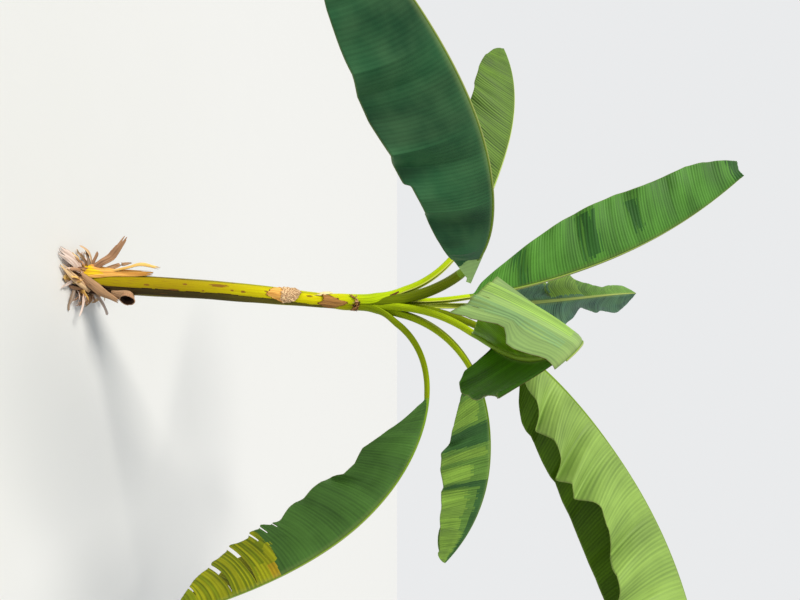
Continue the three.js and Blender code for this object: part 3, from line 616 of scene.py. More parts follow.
def rim_cells(count):
    """A small place of its own on the bake map for each of a number of rim faces."""
    wide = 400
    high = max(1, math.ceil(count / wide))
    number = np.arange(count)
    low = np.stack([(number % wide) / wide, RIM_ROOM[0] + (number // wide) / high * np.ptp(RIM_ROOM)], -1)
    size = np.array([0.8 / wide, 0.8 * np.ptp(RIM_ROOM) / high])
    square = np.array([(0, 0), (1, 0), (1, 1), (0, 1)]) * size
    return (low[:, None] + square).reshape(-1, 2)


def two_sided(
    shell, upper, under, pattern, side=1, keep=None, slots=0, under_slots=1, rim_slots=2, band=(0.0, 1.0)
):
    """Adds a thin sheet: its upper and under grid of points, and rims wherever its faces end.

    side is 1 where the grid's columns and rows turn anticlockwise as seen from above it, and -1
    otherwise. keep says which faces there are. band is the part of the bake map's height that
    the sheet takes.
    """
    rows, columns = upper.shape[:2]
    keep = np.ones((rows - 1, columns - 1), bool) if keep is None else keep
    i, j = np.nonzero(keep)
    grid = np.arange(rows * columns).reshape(rows, columns)
    x, y = np.meshgrid(np.linspace(0, 1, rows), np.linspace(0, 1, columns), indexing="ij")
    y = band[0] + (band[1] - band[0]) * y
    quads = corners(grid, i, j)
    if side < 0:
        quads = quads[:, ::-1]

    def spread(room):
        return np.stack([x, room[0] + y * (room[1] - room[0])], -1).reshape(-1, 2)

    flat = pattern.reshape(-1, 2)
    slots = np.broadcast_to(slots, keep.shape)[i, j]
    under_slots = np.broadcast_to(under_slots, keep.shape)[i, j]
    shell.add(upper.reshape(-1, 3), quads, slots, flat[quads.ravel()], spread(UPPER_ROOM)[quads.ravel()])
    back = quads[:, ::-1]
    shell.add(under.reshape(-1, 3), back, under_slots, flat[back.ravel()], spread(UNDER_ROOM)[back.ravel()])

    padded = np.pad(keep, 1)
    middle = padded[1:-1, 1:-1]
    rims = []
    for gone, first, second in (
        (~padded[1:-1, :-2], (1, 0), (0, 0)),
        (~padded[1:-1, 2:], (0, 1), (1, 1)),
        (~padded[:-2, 1:-1], (0, 0), (0, 1)),
        (~padded[2:, 1:-1], (1, 1), (1, 0)),
    ):
        a, b = np.nonzero(middle & gone)
        start = grid[a + first[0], b + first[1]]
        end = grid[a + second[0], b + second[1]]
        rims.append(np.stack([start, end], -1))
    edge = np.concatenate(rims)
    if not len(edge):
        return
    if side < 0:
        edge = edge[:, ::-1]
    count = rows * columns
    # The rim's faces use the points of both sides, which were added last.
    faces = np.stack([edge[:, 1], edge[:, 0], edge[:, 0] + count, edge[:, 1] + count], -1)
    places = np.stack([edge[:, 1], edge[:, 0], edge[:, 0], edge[:, 1]], -1)
    shell.count -= 2 * count
    shell.add(np.empty((0, 3)), faces, rim_slots, flat[places.ravel()], rim_cells(len(faces)))
    shell.count += 2 * count


def tube(shell, rings, pattern, slots):
    """Adds a closed tube through rings of points that turn anticlockwise about the way ahead."""
    count, sides = rings.shape[:2]
    ring = np.concatenate([rings, rings[:, :1]], 1)
    grid = np.arange(count * (sides + 1)).reshape(count, sides + 1)
    i, j = (a.ravel() for a in np.mgrid[0 : count - 1, 0:sides])
    quads = corners(grid, i, j)
    x, y = np.meshgrid(np.linspace(0, 0.97, count), np.linspace(0, 1, sides + 1), indexing="ij")
    bake = np.stack([x, y], -1).reshape(-1, 2)
    slots = np.broadcast_to(slots, (count - 1, sides)).ravel()
    # The first and last column of points lie on each other, and share their faces' edge.
    same = np.arange(grid.size)
    same[grid[:, -1]] = grid[:, 0]
    flat = pattern.reshape(-1, 2)
    shell.add(ring.reshape(-1, 3), same[quads], slots, flat[quads.ravel()], bake[quads.ravel()])
    for last in (False, True):
        edge = rings[-1 if last else 0]
        points = np.concatenate([edge, edge.mean(0, keepdims=True)])
        k = np.arange(0, sides, 2)
        fan = np.stack([np.full(len(k), sides), k, (k + 1) % sides, (k + 2) % sides], -1)
        if not last:
            fan = fan[:, ::-1]
        turn = full_turn(sides)
        circle = np.stack([0.5 + 0.5 * np.cos(turn), 0.5 + 0.5 * np.sin(turn)], -1)
        circle = np.concatenate([circle, [(0.5, 0.5)]])
        flat = np.tile(pattern[-1 if last else 0, :1], (sides + 1, 1))
        room = circle * (0.02, 0.3) + (0.975, 0.6 if last else 0.1)
        shell.add(points, fan, slots[-1 if last else 0], flat[fan.ravel()], room[fan.ravel()])


class Value:
    """A node's output in a graph, on which sums are written with the usual signs."""

    def __init__(self, graph, socket):
        self.graph = graph
        self.socket = socket

    def __add__(self, other):
        return self.graph.maths("ADD", self, other)

    def __sub__(self, other):
        return self.graph.maths("SUBTRACT", self, other)

    def __mul__(self, other):
        return self.graph.maths("MULTIPLY", self, other)

    def __truediv__(self, other):
        return self.graph.maths("DIVIDE", self, other)

    def __abs__(self):
        return self.graph.maths("ABSOLUTE", self)


class Graph:
    """Adds nodes to a tree, each with its settings and its inputs set or linked."""

    def __init__(self, tree):
        self.tree = tree

    def put(self, socket, value):
        """Links a socket to a value, or sets it."""
        if isinstance(value, Value):
            self.tree.links.new(value.socket, socket)
        else:
            socket.default_value = value

    def node(self, kind, inputs=None, **settings):
        """A node of a kind, with its inputs by name or number."""
        made = self.tree.nodes.new("ShaderNode" + kind)
        for name, value in settings.items():
            setattr(made, name, value)
        for key, value in (inputs or {}).items():
            self.put(made.inputs[key], value)
        return made

    def read(self, kind, inputs=None, output=0, **settings):
        """One output of a new node."""
        return Value(self, self.node(kind, inputs, **settings).outputs[output])

    def maths(self, operation, *values, clamp=False):
        """The result of one operation on one or two values."""
        return self.read("Math", dict(enumerate(values)), operation=operation, use_clamp=clamp)

    def vector(self, x, y, z=0.0):
        """A vector of three values."""
        return self.read("CombineXYZ", {0: x, 1: y, 2: z})

    def noise(self, vector, detail=2.0, roughness=0.5, scale=1.0):
        """A noise value, about 0 to 1."""
        inputs = {"Vector": vector, "Scale": scale, "Detail": detail, "Roughness": roughness}
        return self.read("TexNoise", inputs)

    def remap(self, value, low, high, start=0.0, end=1.0):
        """A soft rise from start to end as the value goes from low to high."""
        inputs = {0: value, 1: low, 2: high, 3: start, 4: end}
        return self.read("MapRange", inputs, interpolation_type="SMOOTHSTEP")

    def mix(self, share, first, second):
        """Two colours mixed."""
        return self.read("Mix", {0: share, 6: first, 7: second}, 2, data_type="RGBA")

    def use(self, tree, **inputs):
        """The outputs of a group placed in the graph, with its inputs by name."""
        made = self.node("Group", {name.replace("_", " "): inputs[name] for name in inputs}, node_tree=tree)
        return {socket.name: Value(self, socket) for socket in made.outputs}


def group(name, inputs, build):
    """A shader node group, made the first time that it is asked for."""
    known = bpy.data.node_groups.get(name)
    if known:
        return known
    tree = bpy.data.node_groups.new(name, "ShaderNodeTree")
    g = Graph(tree)
    for socket, default in inputs.items():
        kind = "NodeSocketVector" if isinstance(default, tuple) else "NodeSocketFloat"
        tree.interface.new_socket(socket, in_out="INPUT", socket_type=kind).default_value = default
    start = tree.nodes.new("NodeGroupInput")
    end = tree.nodes.new("NodeGroupOutput")
    given = {socket: Value(g, start.outputs[socket]) for socket in inputs}
    for socket, value in build(g, given).items():
        tree.interface.new_socket(socket, in_out="OUTPUT", socket_type="NodeSocketFloat")
        g.put(end.inputs[socket], value)
    return tree


def veins_group():
    """The veins of a leaf along its pattern map: one tone, their height and two masks."""

    def build(g, given):
        along = given["Along"]
        across = given["Across"]
        place = g.noise(g.vector(along * 9.0, across * 1.6)) * 0.002 + along
        drift = across * 0.6
        broad = g.noise(g.vector(place / given["Band"], drift), 1.0)
        fine = g.noise(g.vector(place / given["Spacing"], drift), 2.0, 0.6)
        hair = g.noise(g.vector(place / 0.0016, drift), 1.0)
        patch = g.noise(g.vector(along * 6.0, across * 2.2, 4.0), 3.0)
        # Broad bands: partly the leaf's own banding, partly painted light and shade of its undulations and
        # sheen.
        bands = g.remap(broad, 0.32, 0.68, -0.5, 0.5)
        # Stripes at the pleats' spacing: partly the leaf's own stripes, partly painted light and shade of
        # the pleats.
        ribs = g.maths("SINE", place * (2 * math.pi / PLEAT))
        lines = ribs * 0.3 + g.remap(fine, 0.3, 0.7, -0.35, 0.35)
        patches = g.remap(patch, 0.3, 0.7, -0.5, 0.5)
        tone = bands * given["Band Strength"] + 0.5
        tone = lines * given["Vein Strength"] + tone
        away = abs(across)
        return {
            "Tone": g.maths("ADD", patches * given["Patch Strength"], tone, clamp=True),
            "Patches": patches + 0.5,
            "Height": hair * 0.35 + fine * 0.65,
            "Near Rib": g.remap(away, 0.0, 0.1, 1.0, 0.0),
            "Near Margin": g.remap(away, 0.98, 1.0),
        }

    inputs = {
        "Along": 0.0, "Across": 0.0, "Band": 0.07, "Spacing": 0.012, "Band Strength": 0.5,
        "Vein Strength": 0.3, "Patch Strength": 0.3,
    }
    return group("Leaf veins", inputs, build)


def mark_group():
    """One placed mark with a ragged outline: a mask that is 1 inside it."""

    def build(g, given):
        up = (given["Along"] - given["At"]) / given["Half Length"]
        side = (given["Across"] - given["Aside"]) / given["Half Width"]
        far = g.maths("SQRT", up * up + side * side)
        rough = g.noise(g.vector(given["Along"] * 45.0, given["Across"] * 160.0), 3.0, 0.6)
        return {"Mask": g.remap(rough * 1.6 + (far - 0.8), 0.7, 1.05, 1.0, 0.0)}

    inputs = {"Along": 0.0, "Across": 0.0, "At": 0.0, "Aside": 0.0, "Half Length": 0.02, "Half Width": 0.01}
    return group("Mark", inputs, build)


def blotches_group():
    """Irregular spots: a mask that is 1 inside them."""

    def build(g, given):
        edge = g.maths("SUBTRACT", 1.0, given["Amount"])
        value = g.noise(given["Place"], 4.0, 0.65)
        return {"Mask": g.remap(value, edge, edge + given["Softness"])}

    return group("Blotches", {"Place": (0.0, 0.0, 0.0), "Amount": 0.35, "Softness": 0.08}, build)


def fibres_group():
    """Fibres that run along a pattern map: a tone, a height and slow patches."""

    def build(g, given):
        along = given["Along"]
        across = given["Across"]
        tone = g.noise(g.vector(along * 5.0, across / given["Width"]), 3.0, 0.6)
        slow = g.noise(g.vector(along * 4.0, across * 100.0))
        return {"Tone": g.remap(tone, 0.34, 0.66), "Height": tone, "Patches": g.remap(slow, 0.42, 0.6)}

    return group("Fibres", {"Along": 0.0, "Across": 0.0, "Width": 0.004}, build)


class Skin(Graph):
    """A material in the making, with its shader and the two values of its pattern map."""

    def __init__(self, name):
        self.material = bpy.data.materials.new(name)
        self.material.use_nodes = True
        super().__init__(self.material.node_tree)
        self.tree.nodes.clear()
        self.shader = self.node("BsdfPrincipled")
        output = self.node("OutputMaterial", {"Surface": Value(self, self.shader.outputs[0])})
        output.is_active_output = True
        place = self.node("SeparateXYZ", {0: self.read("UVMap", uv_map=PATTERN)})
        self.along = Value(self, place.outputs[0])
        self.across = Value(self, place.outputs[1])

    def fibres(self, across, width):
        """Fibres that run along the pattern map, of a width in its units."""
        return self.use(fibres_group(), Along=self.along, Across=across, Width=width)

    def spots(self, along, across, amount, softness):
        """The mask of spots about as large as a unit of the two values."""
        place = self.vector(along, across)
        return self.use(blotches_group(), Place=place, Amount=amount, Softness=softness)["Mask"]

    def finish(self, skin, roughness, height, distance, strength=1.0, specular=0.12):
        """Gives the shader its colour, roughness, bumps and gloss, and the material back."""
        bumps = self.read("Bump", {"Height": height, "Distance": distance, "Strength": strength})
        self.put(self.shader.inputs["Base Color"], skin)
        self.put(self.shader.inputs["Roughness"], roughness)
        self.put(self.shader.inputs["Normal"], bumps)
        self.put(self.shader.inputs["Specular IOR Level"], specular)
        return self.material


def opaque(rgb, gain=1.0):
    """A colour with alpha 1, made lighter or darker by gain."""
    return (*(min(1.0, float(c) * gain) for c in rgb), 1.0)


def leaf_material(name, base, colours, look, bloom=0.0, roughness=0.5):
    """One side of a leaf: veins, bands and patches, paler at the midrib and at its margin."""
    g = Skin(name)
    _, bands, lines, width = look
    veins = g.use(
        veins_group(), Along=g.along, Across=g.across, Band=width, Spacing=0.011,
        Band_Strength=bands, Vein_Strength=lines, Patch_Strength=0.12,
    )
    light = opaque((base[0] * 1.75, base[1] * 1.6, base[2] * 1.35))
    skin = g.mix(veins["Tone"], opaque(base, 0.42), light)
    skin = g.mix(veins["Patches"] * bloom, skin, opaque(colours.bloom))
    skin = g.mix(veins["Near Rib"] * 0.3, skin, opaque(colours.midrib, 0.6))
    skin = g.mix(veins["Near Margin"] * 0.5, skin, opaque(colours.midrib, 0.5))
    rough = g.remap(veins["Patches"], 0.0, 1.0, roughness - 0.05, roughness + 0.06)
    return g.finish(skin, rough, veins["Height"], 0.0011, 0.5)


# How the fibrous finishes differ: roughness, width and height of the fibres, spots, share of streaks
RIB_FINISH = {"roughness": 0.45, "width": 0.08, "height": 0.0004, "spots": 0.1}
DARK_FINISH = {"roughness": 0.85, "width": 0.0025, "height": 0.001}
DRY_FINISH = {"roughness": 0.75, "width": 0.0035, "height": 0.0014, "share": 0.75}


def fibrous_material(
    name, base, second, dark, roughness=0.6, width=0.004, height=0.0008, spots=0.3, share=0.5
):
    """A fibrous skin: streaks of two colours along it, with dark specks."""
    g = Skin(name)
    fibres = g.fibres(g.across, width)
    skin = g.mix(fibres["Tone"] * share, opaque(base), opaque(second))
    skin = g.mix(fibres["Patches"] * share, skin, opaque(second, 0.8))
    skin = g.mix(g.spots(g.along * 14.0, g.across * 90.0, spots, 0.1) * 0.8, skin, opaque(dark))
    rough = g.remap(fibres["Tone"], 0.0, 1.0, roughness - 0.08, roughness + 0.08)
    return g.finish(skin, rough, fibres["Height"], height)


def petiole_material(name, base, colours, shade):
    """A petiole: its sheath is as yellow as the stem, its channel dark, and its rims are pale."""
    g = Skin(name)
    from_top = g.maths("PINGPONG", g.across, 0.5)
    fibres = g.fibres(from_top, 0.016)
    # shade darkens the petiole's green and the yellow of its sheath: painted shade where other leaves shade
    # it.
    sunny = 0.4 + 0.6 * min(1, shade)
    green = g.mix(fibres["Tone"], opaque(base, 0.75 * shade), opaque(base, 1.25 * shade))
    yellow = g.mix(fibres["Tone"], opaque(colours.stem, sunny), opaque(colours.stem, 0.72 * sunny))
    skin = g.mix(g.remap(g.along, -0.2, -0.02), yellow, green)
    # The channel is darkened with painted shade.
    groove_shade = g.remap(from_top, 0.1, 0.14, 1.0, 0.0) * g.remap(g.along, -0.02, 0.1)
    skin = g.mix(groove_shade * 0.75, skin, opaque(colours.groove_shade, 0.6 + 0.7 * shade))
    rim = g.remap(abs(from_top - 0.155), 0.012, 0.03, 1.0, 0.0) * g.remap(g.along, -0.02, 0.12)
    skin = g.mix(rim * 0.75, skin, opaque(colours.rim, 0.45 + 0.5 * shade))
    skin = g.mix(g.spots(g.along * 22.0, from_top * 16.0, 0.3, 0.08) * 0.7, skin, opaque(colours.rust))
    rough = g.remap(fibres["Tone"], 0.0, 1.0, 0.36, 0.5)
    return g.finish(skin, rough, fibres["Height"], 0.0006, specular=0.06)


# Placed marks of the stem: height, azimuth, half height and half width in millimetres
MARKS = (
    (660, 237, 46, 10), (775, 263, 13, 6), (724, 261, 9, 5), (590, 278, 8, 4), (505, 246, 14, 5),
    (1080, 244, 16, 7), (455, 283, 30, 5), (330, 262, 16, 5), (880, 246, 9, 4), (560, 60, 40, 12),
    (900, 120, 24, 10), (300, 150, 36, 9), (1090, 30, 20, 8), (720, 200, 10, 5),
)


def stem_material(name, base, second, colours, streaks=0.45):
    """A sheath of the stem: fibres, long brown streaks near the ground, specks and placed marks."""
    g = Skin(name)
    along, across = g.along, g.across
    fibres = g.fibres(across, 0.005)
    skin = g.mix(fibres["Tone"] * 0.6, opaque(base), opaque(second))
    skin = g.mix(fibres["Patches"] * 0.45, skin, opaque(second, 0.85))
    # Darker and browner towards the bottom of the stem, most below 0.4 m.
    old = opaque((base[0] * 0.44, base[1] * 0.32, base[2]))
    skin = g.mix(g.remap(along, 0.4, 1.1, 0.9, 0.0), skin, old)
    brown = g.spots(along * 9.0, across * 260.0, streaks, 0.1) * g.remap(along, 0.15, 0.9, 1.0, 0.12)
    skin = g.mix(brown * 0.85, skin, opaque(colours.rust))
    mask = g.spots(along * 120.0, across * 170.0, 0.33, 0.06) * 0.7
    for height, azimuth, half_length, half_width in MARKS:
        mark = g.use(
            mark_group(), Along=along, Across=across, At=height * MM, Aside=math.radians(azimuth) * GIRTH,
            Half_Length=half_length * MM, Half_Width=half_width * MM,
        )
        mask = g.maths("MAXIMUM", mask, mark["Mask"] * 0.85)
    skin = g.mix(mask, skin, opaque(colours.rust))
    skin = g.mix(g.remap(along, 0.0, 0.09, 0.75, 0.0), skin, opaque(colours.dry_brown, 0.6))
    rough = g.remap(fibres["Tone"], 0.0, 1.0, 0.36, 0.52)
    return g.finish(skin, rough, fibres["Height"], 0.0007, specular=0.05)


def directions(pitch, heading):
    """The directions along, to the right of and above a rib of the given pitch and heading."""
    p = np.radians(pitch)
    h = np.radians(heading)
    along = np.stack([np.cos(p) * np.cos(h), np.cos(p) * np.sin(h), np.sin(p)], -1)
    right = np.stack([np.sin(h), -np.cos(h), np.zeros_like(h)], -1)
    return along, right, np.cross(right, along)


class Line:
    """A leaf's line from its foot along the petiole and the midrib, with its directions."""

    def __init__(self, leaf):
        self.leaf = leaf
        total = leaf["petiole"] + leaf["blade"]
        middle = (np.arange(math.ceil(total / WALK)) + 0.5) * WALK
        along = self.facing(middle)[0]
        steps = np.concatenate([np.zeros((1, 3)), np.cumsum(along * WALK, 0)])
        self.places = CROWN + leaf["foot"] + steps

    def facing(self, s):
        """The directions along, to the right of and above the line at some lengths from the foot."""
        petiole = self.leaf["petiole"]
        blade = self.leaf["blade"]
        stations = (0, petiole, petiole + blade / 2, petiole + blade)
        return directions(ease(self.leaf["pitch"], stations, s), ease(self.leaf["heading"], stations, s))

    def at(self, s):
        """Places and directions at some lengths from the foot, which may run on straight below it."""
        s = np.asarray(s, float)
        i = np.clip(np.floor(s / WALK).astype(int), 0, len(self.places) - 2)
        along, right, above = self.facing(s)
        out = np.clip((s - self.leaf["petiole"]) / self.leaf["blade"], 0, 1)
        bow = self.leaf.get("bow", 0) * np.sin(math.pi * out**1.4)
        place = self.places[i] + along * (s - i * WALK)[..., None] + bow[..., None] * above
        return place, along, right, above


def outline(leaf, t):
    """Half width of a blade at t, from 0 at its base to 1 at its tip, as a part of the widest."""
    rise = np.sin(math.pi / 2 * np.clip(t / BLADE["widest"], 0, 1)) ** 0.8
    past = np.clip((t - BLADE["widest"]) / (1 - BLADE["widest"]), 0, 1)
    if leaf.get("torn"):
        fall = 1 - 0.12 * past**2
    else:
        fall = (1 - past**2.6) ** 0.7
    return np.where(t < BLADE["widest"], np.maximum(BLADE["least"], rise), fall)


def margin_wave(leaf, side, t):
    """How far the margin waves out of the half blade's surface at t, in the leaf's wave heights."""
    turn = 2 * math.pi * (leaf["waves"] * t + (0 if side > 0 else 0.37))
    return np.sin(turn) + 0.4 * np.sin(0.61 * turn + 1)


def rib_width(leaf, s):
    """Width of a petiole and midrib at some lengths from the foot."""
    root, neck = leaf["stalk"]
    petiole = leaf["petiole"]
    t = np.clip((s - petiole) / leaf["blade"], 0, 1)
    stalk = root + (neck - root) * np.clip(s / petiole, 0, 1)
    slimmer = (1 - 0.12 * smooth(t / 0.05)) * (1 - 0.86 * t ** leaf.get("stout", 0.8))
    return np.where(s < petiole, stalk, neck * slimmer)


def soften(values):
    """Values along the rows of a blade, with their corners rounded a little."""
    kernel = np.array((1, 3, 6, 8, 6, 3, 1)) / 28
    padded = np.pad(values, 3, mode="edge")
    return np.convolve(padded, kernel, "valid")


def crease_turns(leaf, u):
    """How much steeper the blade hangs at u, in degrees: it kinks at each crease."""
    places = [(0.0, 0.0)]
    creases = leaf["creases"]
    following = [c[0] for c in creases[1:]] + [1.0]
    for (place, size), last in zip(creases, following):
        places += [(place, size), (place + 0.3 * (last - place), -0.8 * size)]
    places.append((1.0, 0.0))
    return np.interp(u, *np.array(places).T)


def along_edge(leaf, hand, u):
    """The columns of a half blade's edge table at u: share of the width, extra fold and curl."""
    rows = leaf.get(hand + "_edge", PLAIN_EDGE)
    table = np.array([(*row, 0, 0)[:4] for row in rows], float)
    k = np.clip(np.searchsorted(table[:, 0], u, side="right") - 1, 0, len(table) - 2)
    share = (u - table[k, 0]) / (table[k + 1, 0] - table[k, 0])
    if leaf.get("arched") and hand == "right":
        share = np.where(k % 2 == 0, 1 - (1 - share) ** 2, share**2)
    values = table[k, 1:] + share[:, None] * (table[k + 1, 1:] - table[k, 1:])
    return (soften(values[:, column])[:, None] for column in range(3))


def fold_over(places, points, feet, out):
    """The base of a half blade that rises from its rib and folds over in front of the petiole.

    The places are where the fold meets the rib, the half blade's hindmost point, and its margin
    below the fold.
    """
    crest, tip, low = (np.array(place, float) for place in places)
    top = tip + (crest - tip) * smooth(np.clip(feet / 0.08, 0, 1))[..., None]
    margin = tip + (low - tip) * np.clip(feet / 0.1, 0, 1)[..., None]
    rise = smooth(out / 0.3)[..., None]
    down = np.clip((out - 0.3) / 0.7, 0, 1)[..., None]
    root = points[:, :1]
    root = root + 0.6 * (top - root) * (1 - smooth(np.clip(feet / 0.06, 0, 1)))[..., None]
    folded = root + (top - root) * rise + (margin - top) * down
    stay = smooth((feet - 0.07) / 0.08)[..., None]
    return folded * (1 - stay) + points * stay


def open_tears(leaf, side, u, v, t, keep):
    """Pulls a half blade apart at its tears: the new t, and how far its points lift beside them."""
    feet, out = np.meshgrid(u, v, indexing="ij")
    lift = np.zeros_like(t)
    for tear_side, mouth, depth, width in leaf.get("tears", ()):
        if tear_side != side:
            continue
        row = int(np.argmin(np.abs(u - mouth)))
        start = 1 - depth
        gape = 0.45 if depth > 0.5 else 1.3
        curl = 0.35 if depth < 0.5 or width < 0 else 0.05
        ramp = smooth((out - start) / (gape * depth))
        away = np.where(feet > u[row], 1, -1)
        near = np.abs(feet - u[row]) * leaf["blade"]
        t = t + away * 0.5 * width * ramp * np.exp(-near / (2.5 * abs(width))) / leaf["blade"]
        lift += away * curl * abs(width) * ramp * np.exp(-near / 60)
        keep[row, v[:-1] >= start] = False
    return t, lift


def add_relief(lift, leaf, side, t, feet, out, shape, seed, sizes):
    """Adds a half blade's waves, ripples, pleats and swells to the lift of its points."""
    lift += leaf["wave"] * margin_wave(leaf, side, t) * shape * out**2
    metres = feet * leaf["blade"] * MM
    slim = np.minimum(1, shape * 2)
    ripple = noise(seed + 1, metres / 0.045, out * 1.5) + 0.5 * noise(seed + 2, metres / 0.024, out)
    lift += sizes.ripple_height / MM * ripple * out**4 * slim
    phase = 2 * math.pi * (metres / sizes.pleat + 0.1 * noise(seed + 3, metres / 0.06, out * 2))
    strength = smooth(out / 0.06) * (1 - 0.3 * out) * (1 + 0.5 * noise(seed + 4, metres / 0.11, out * 1.5))
    lift += leaf["look"][0] * sizes.pleat_height / MM * np.cos(phase) * strength
    lift += 3.0 * noise(seed + 5, metres / 0.16, out * 1.6) * out * slim


def half_blade(leaf, line, side, u, v, seed, sizes):
    """One half blade on a grid of u, the foot of a vein, and v, how far out along it.

    Gives the points, the outward directions, t for each point, and which faces there are.
    """
    hand = "right" if side > 0 else "left"
    feet, out = np.meshgrid(u, v, indexing="ij")
    blade = leaf["blade"]
    ends = smooth((1 - feet) / 0.14) * smooth(feet / 0.06)
    t = feet + leaf.get("sweep", BLADE["sweep"]) * ends * out**1.5
    keep = np.ones((len(u) - 1, len(v) - 1), bool)
    if hand + "_end" in leaf:
        places, reach = zip(*leaf[hand + "_end"])
        ragged = leaf.get("ragged", 0.0015) * noise(seed + 8, out * 26) * smooth((feet - 0.97) / 0.03)
        t = t + (np.interp(out, places, reach) - 1) * smooth((feet - 0.88) / 0.12) + ragged
    if hand + "_cut" in leaf:
        place, depth = leaf[hand + "_cut"]
        keep &= ~((u[:-1, None] >= place) & (v[None, :-1] >= depth))
    t, lift = open_tears(leaf, side, u, v, t, keep)
    factor, steeper, curled = along_edge(leaf, hand, u)
    place, along, right, above = line.at(leaf["petiole"] + blade * t)
    fold = ease(leaf[hand], PARTS, np.clip(t, 0, 1)) + steeper + crease_turns(leaf, u)[:, None]
    curl = BLADE["curl"] + curled
    shape = outline(leaf, np.clip(t, 0, 1)) * factor
    width = leaf["half_width"] * shape
    reached = out[..., None] * (np.arange(BEND_STEPS) + 0.5) / BEND_STEPS
    least = 1.0 if leaf.get("steep") and side < 0 else 0.4

    def slope(fold, curl, out):
        shoulder = least + (1 - least) * smooth(out / SHOULDER)
        return np.radians(fold * shoulder + curl * out)

    angle = slope(fold[..., None], curl[..., None], reached)
    aside = (side * np.cos(angle).mean(-1) * out * width)[..., None] * right
    down = (np.sin(angle).mean(-1) * out * width)[..., None] * above
    ahead = (leaf.get("lean", BLADE["lean"]) * out**2 * width)[..., None] * along
    # At the midrib the blade starts from the rims of its channel.
    rib = rib_width(leaf, leaf["petiole"] + blade * np.clip(t, 0, 1)) * (1 - out)
    rim = (side * 0.41 * rib)[..., None] * right - (0.3 * rib)[..., None] * above
    last = slope(fold, curl, out)
    outward = np.cos(last)[..., None] * above + (side * np.sin(last))[..., None] * right
    add_relief(lift, leaf, side, t, feet, out, shape, seed, sizes)
    points = place + aside - down + ahead + rim + lift[..., None] * outward
    if hand + "_overlap" in leaf:
        points = fold_over(leaf[hand + "_overlap"], points, feet, out)
    return points, outward, t, keep


def make_leaf(name, leaf, number, sizes, materials):
    """The blade of a leaf, as two thin half blades that leave the midrib's rims."""
    line = Line(leaf)
    shell = Shell()
    rows = ROWS_PER_PLEAT * round(leaf["blade"] * MM / sizes.pleat)
    u = np.linspace(0, 1, rows + 1)
    share = np.linspace(0, 1, 19)
    v = 0.5 * share + 0.25 * (1 - np.cos(math.pi * share))
    for side in (1, -1):
        seed = 100 * number + (0 if side > 0 else 50)
        points, outward, t, keep = half_blade(leaf, line, side, u, v, seed, sizes)
        steps = np.cross(np.gradient(points, axis=1), np.gradient(points, axis=0))
        normal = unit(side * steps)
        # At the pinched ends the grid has no clear normal, so the blade's own side is used.
        clear = (np.linalg.norm(steps, axis=-1) > 0.5)[..., None]
        normal = np.where(clear, normal, outward)
        under = points - normal * sizes.lamina / MM
        pattern = pairs(u[:, None] * leaf["blade"] * MM, side * v[None])
        slots = np.full(keep.shape, UPPER)
        middle = 0.5 * (t[1:, 1:] + t[:-1, :-1])
        strip = np.floor(u[:-1] * leaf["blade"] * MM / (sizes.pleat * 0.5)).astype(int)
        chance = np.random.default_rng(seed).uniform(0.05, 0.95, strip.max() + 1)[strip][:, None]
        if "fade" in leaf:
            start, full = leaf["fade"]
            faded = smooth((middle - start) / (full - start)) - chance
            slots = np.where(faded > 0, FIRST_TINT, UPPER) + (faded > 0.45)
        for tint_side, first, last, inner, outer, tint in leaf.get("tints", ()):
            stray = middle + (0.04 if tint in SOFT_TINTS else 0.012) * (chance - 0.5)
            inside = (stray > first) & (stray < last)
            start = inner + 0.12 * (1 - chance) * min(1, 4 * inner)
            if tint_side == side:
                slots[inside & (v[1:] > start) & (v[:-1] < outer)] = FIRST_TINT + TINTS.index(tint)
        under_slots = np.where(slots >= FIRST_TINT, slots, UNDER_RIGHT if side > 0 else UNDER_LEFT)
        band = (0.5, 1.0) if side > 0 else (0.0, 0.5)
        two_sided(shell, points, under, pattern, side, keep, slots, under_slots, TORN_EDGE, band)
    return shell.make("leaf_" + name, materials, "blade_" + name, slot="blade")


def stem_centre(z):
    """The centre of the stem at some heights."""
    across = ease(STEM["across"], STEM["heights"], z)
    return np.stack([across, np.zeros_like(across), z], -1)


def stem_radius(z):
    """The radius of the stem at some heights."""
    return ease(STEM["diameter"], STEM["heights"], z) / 2


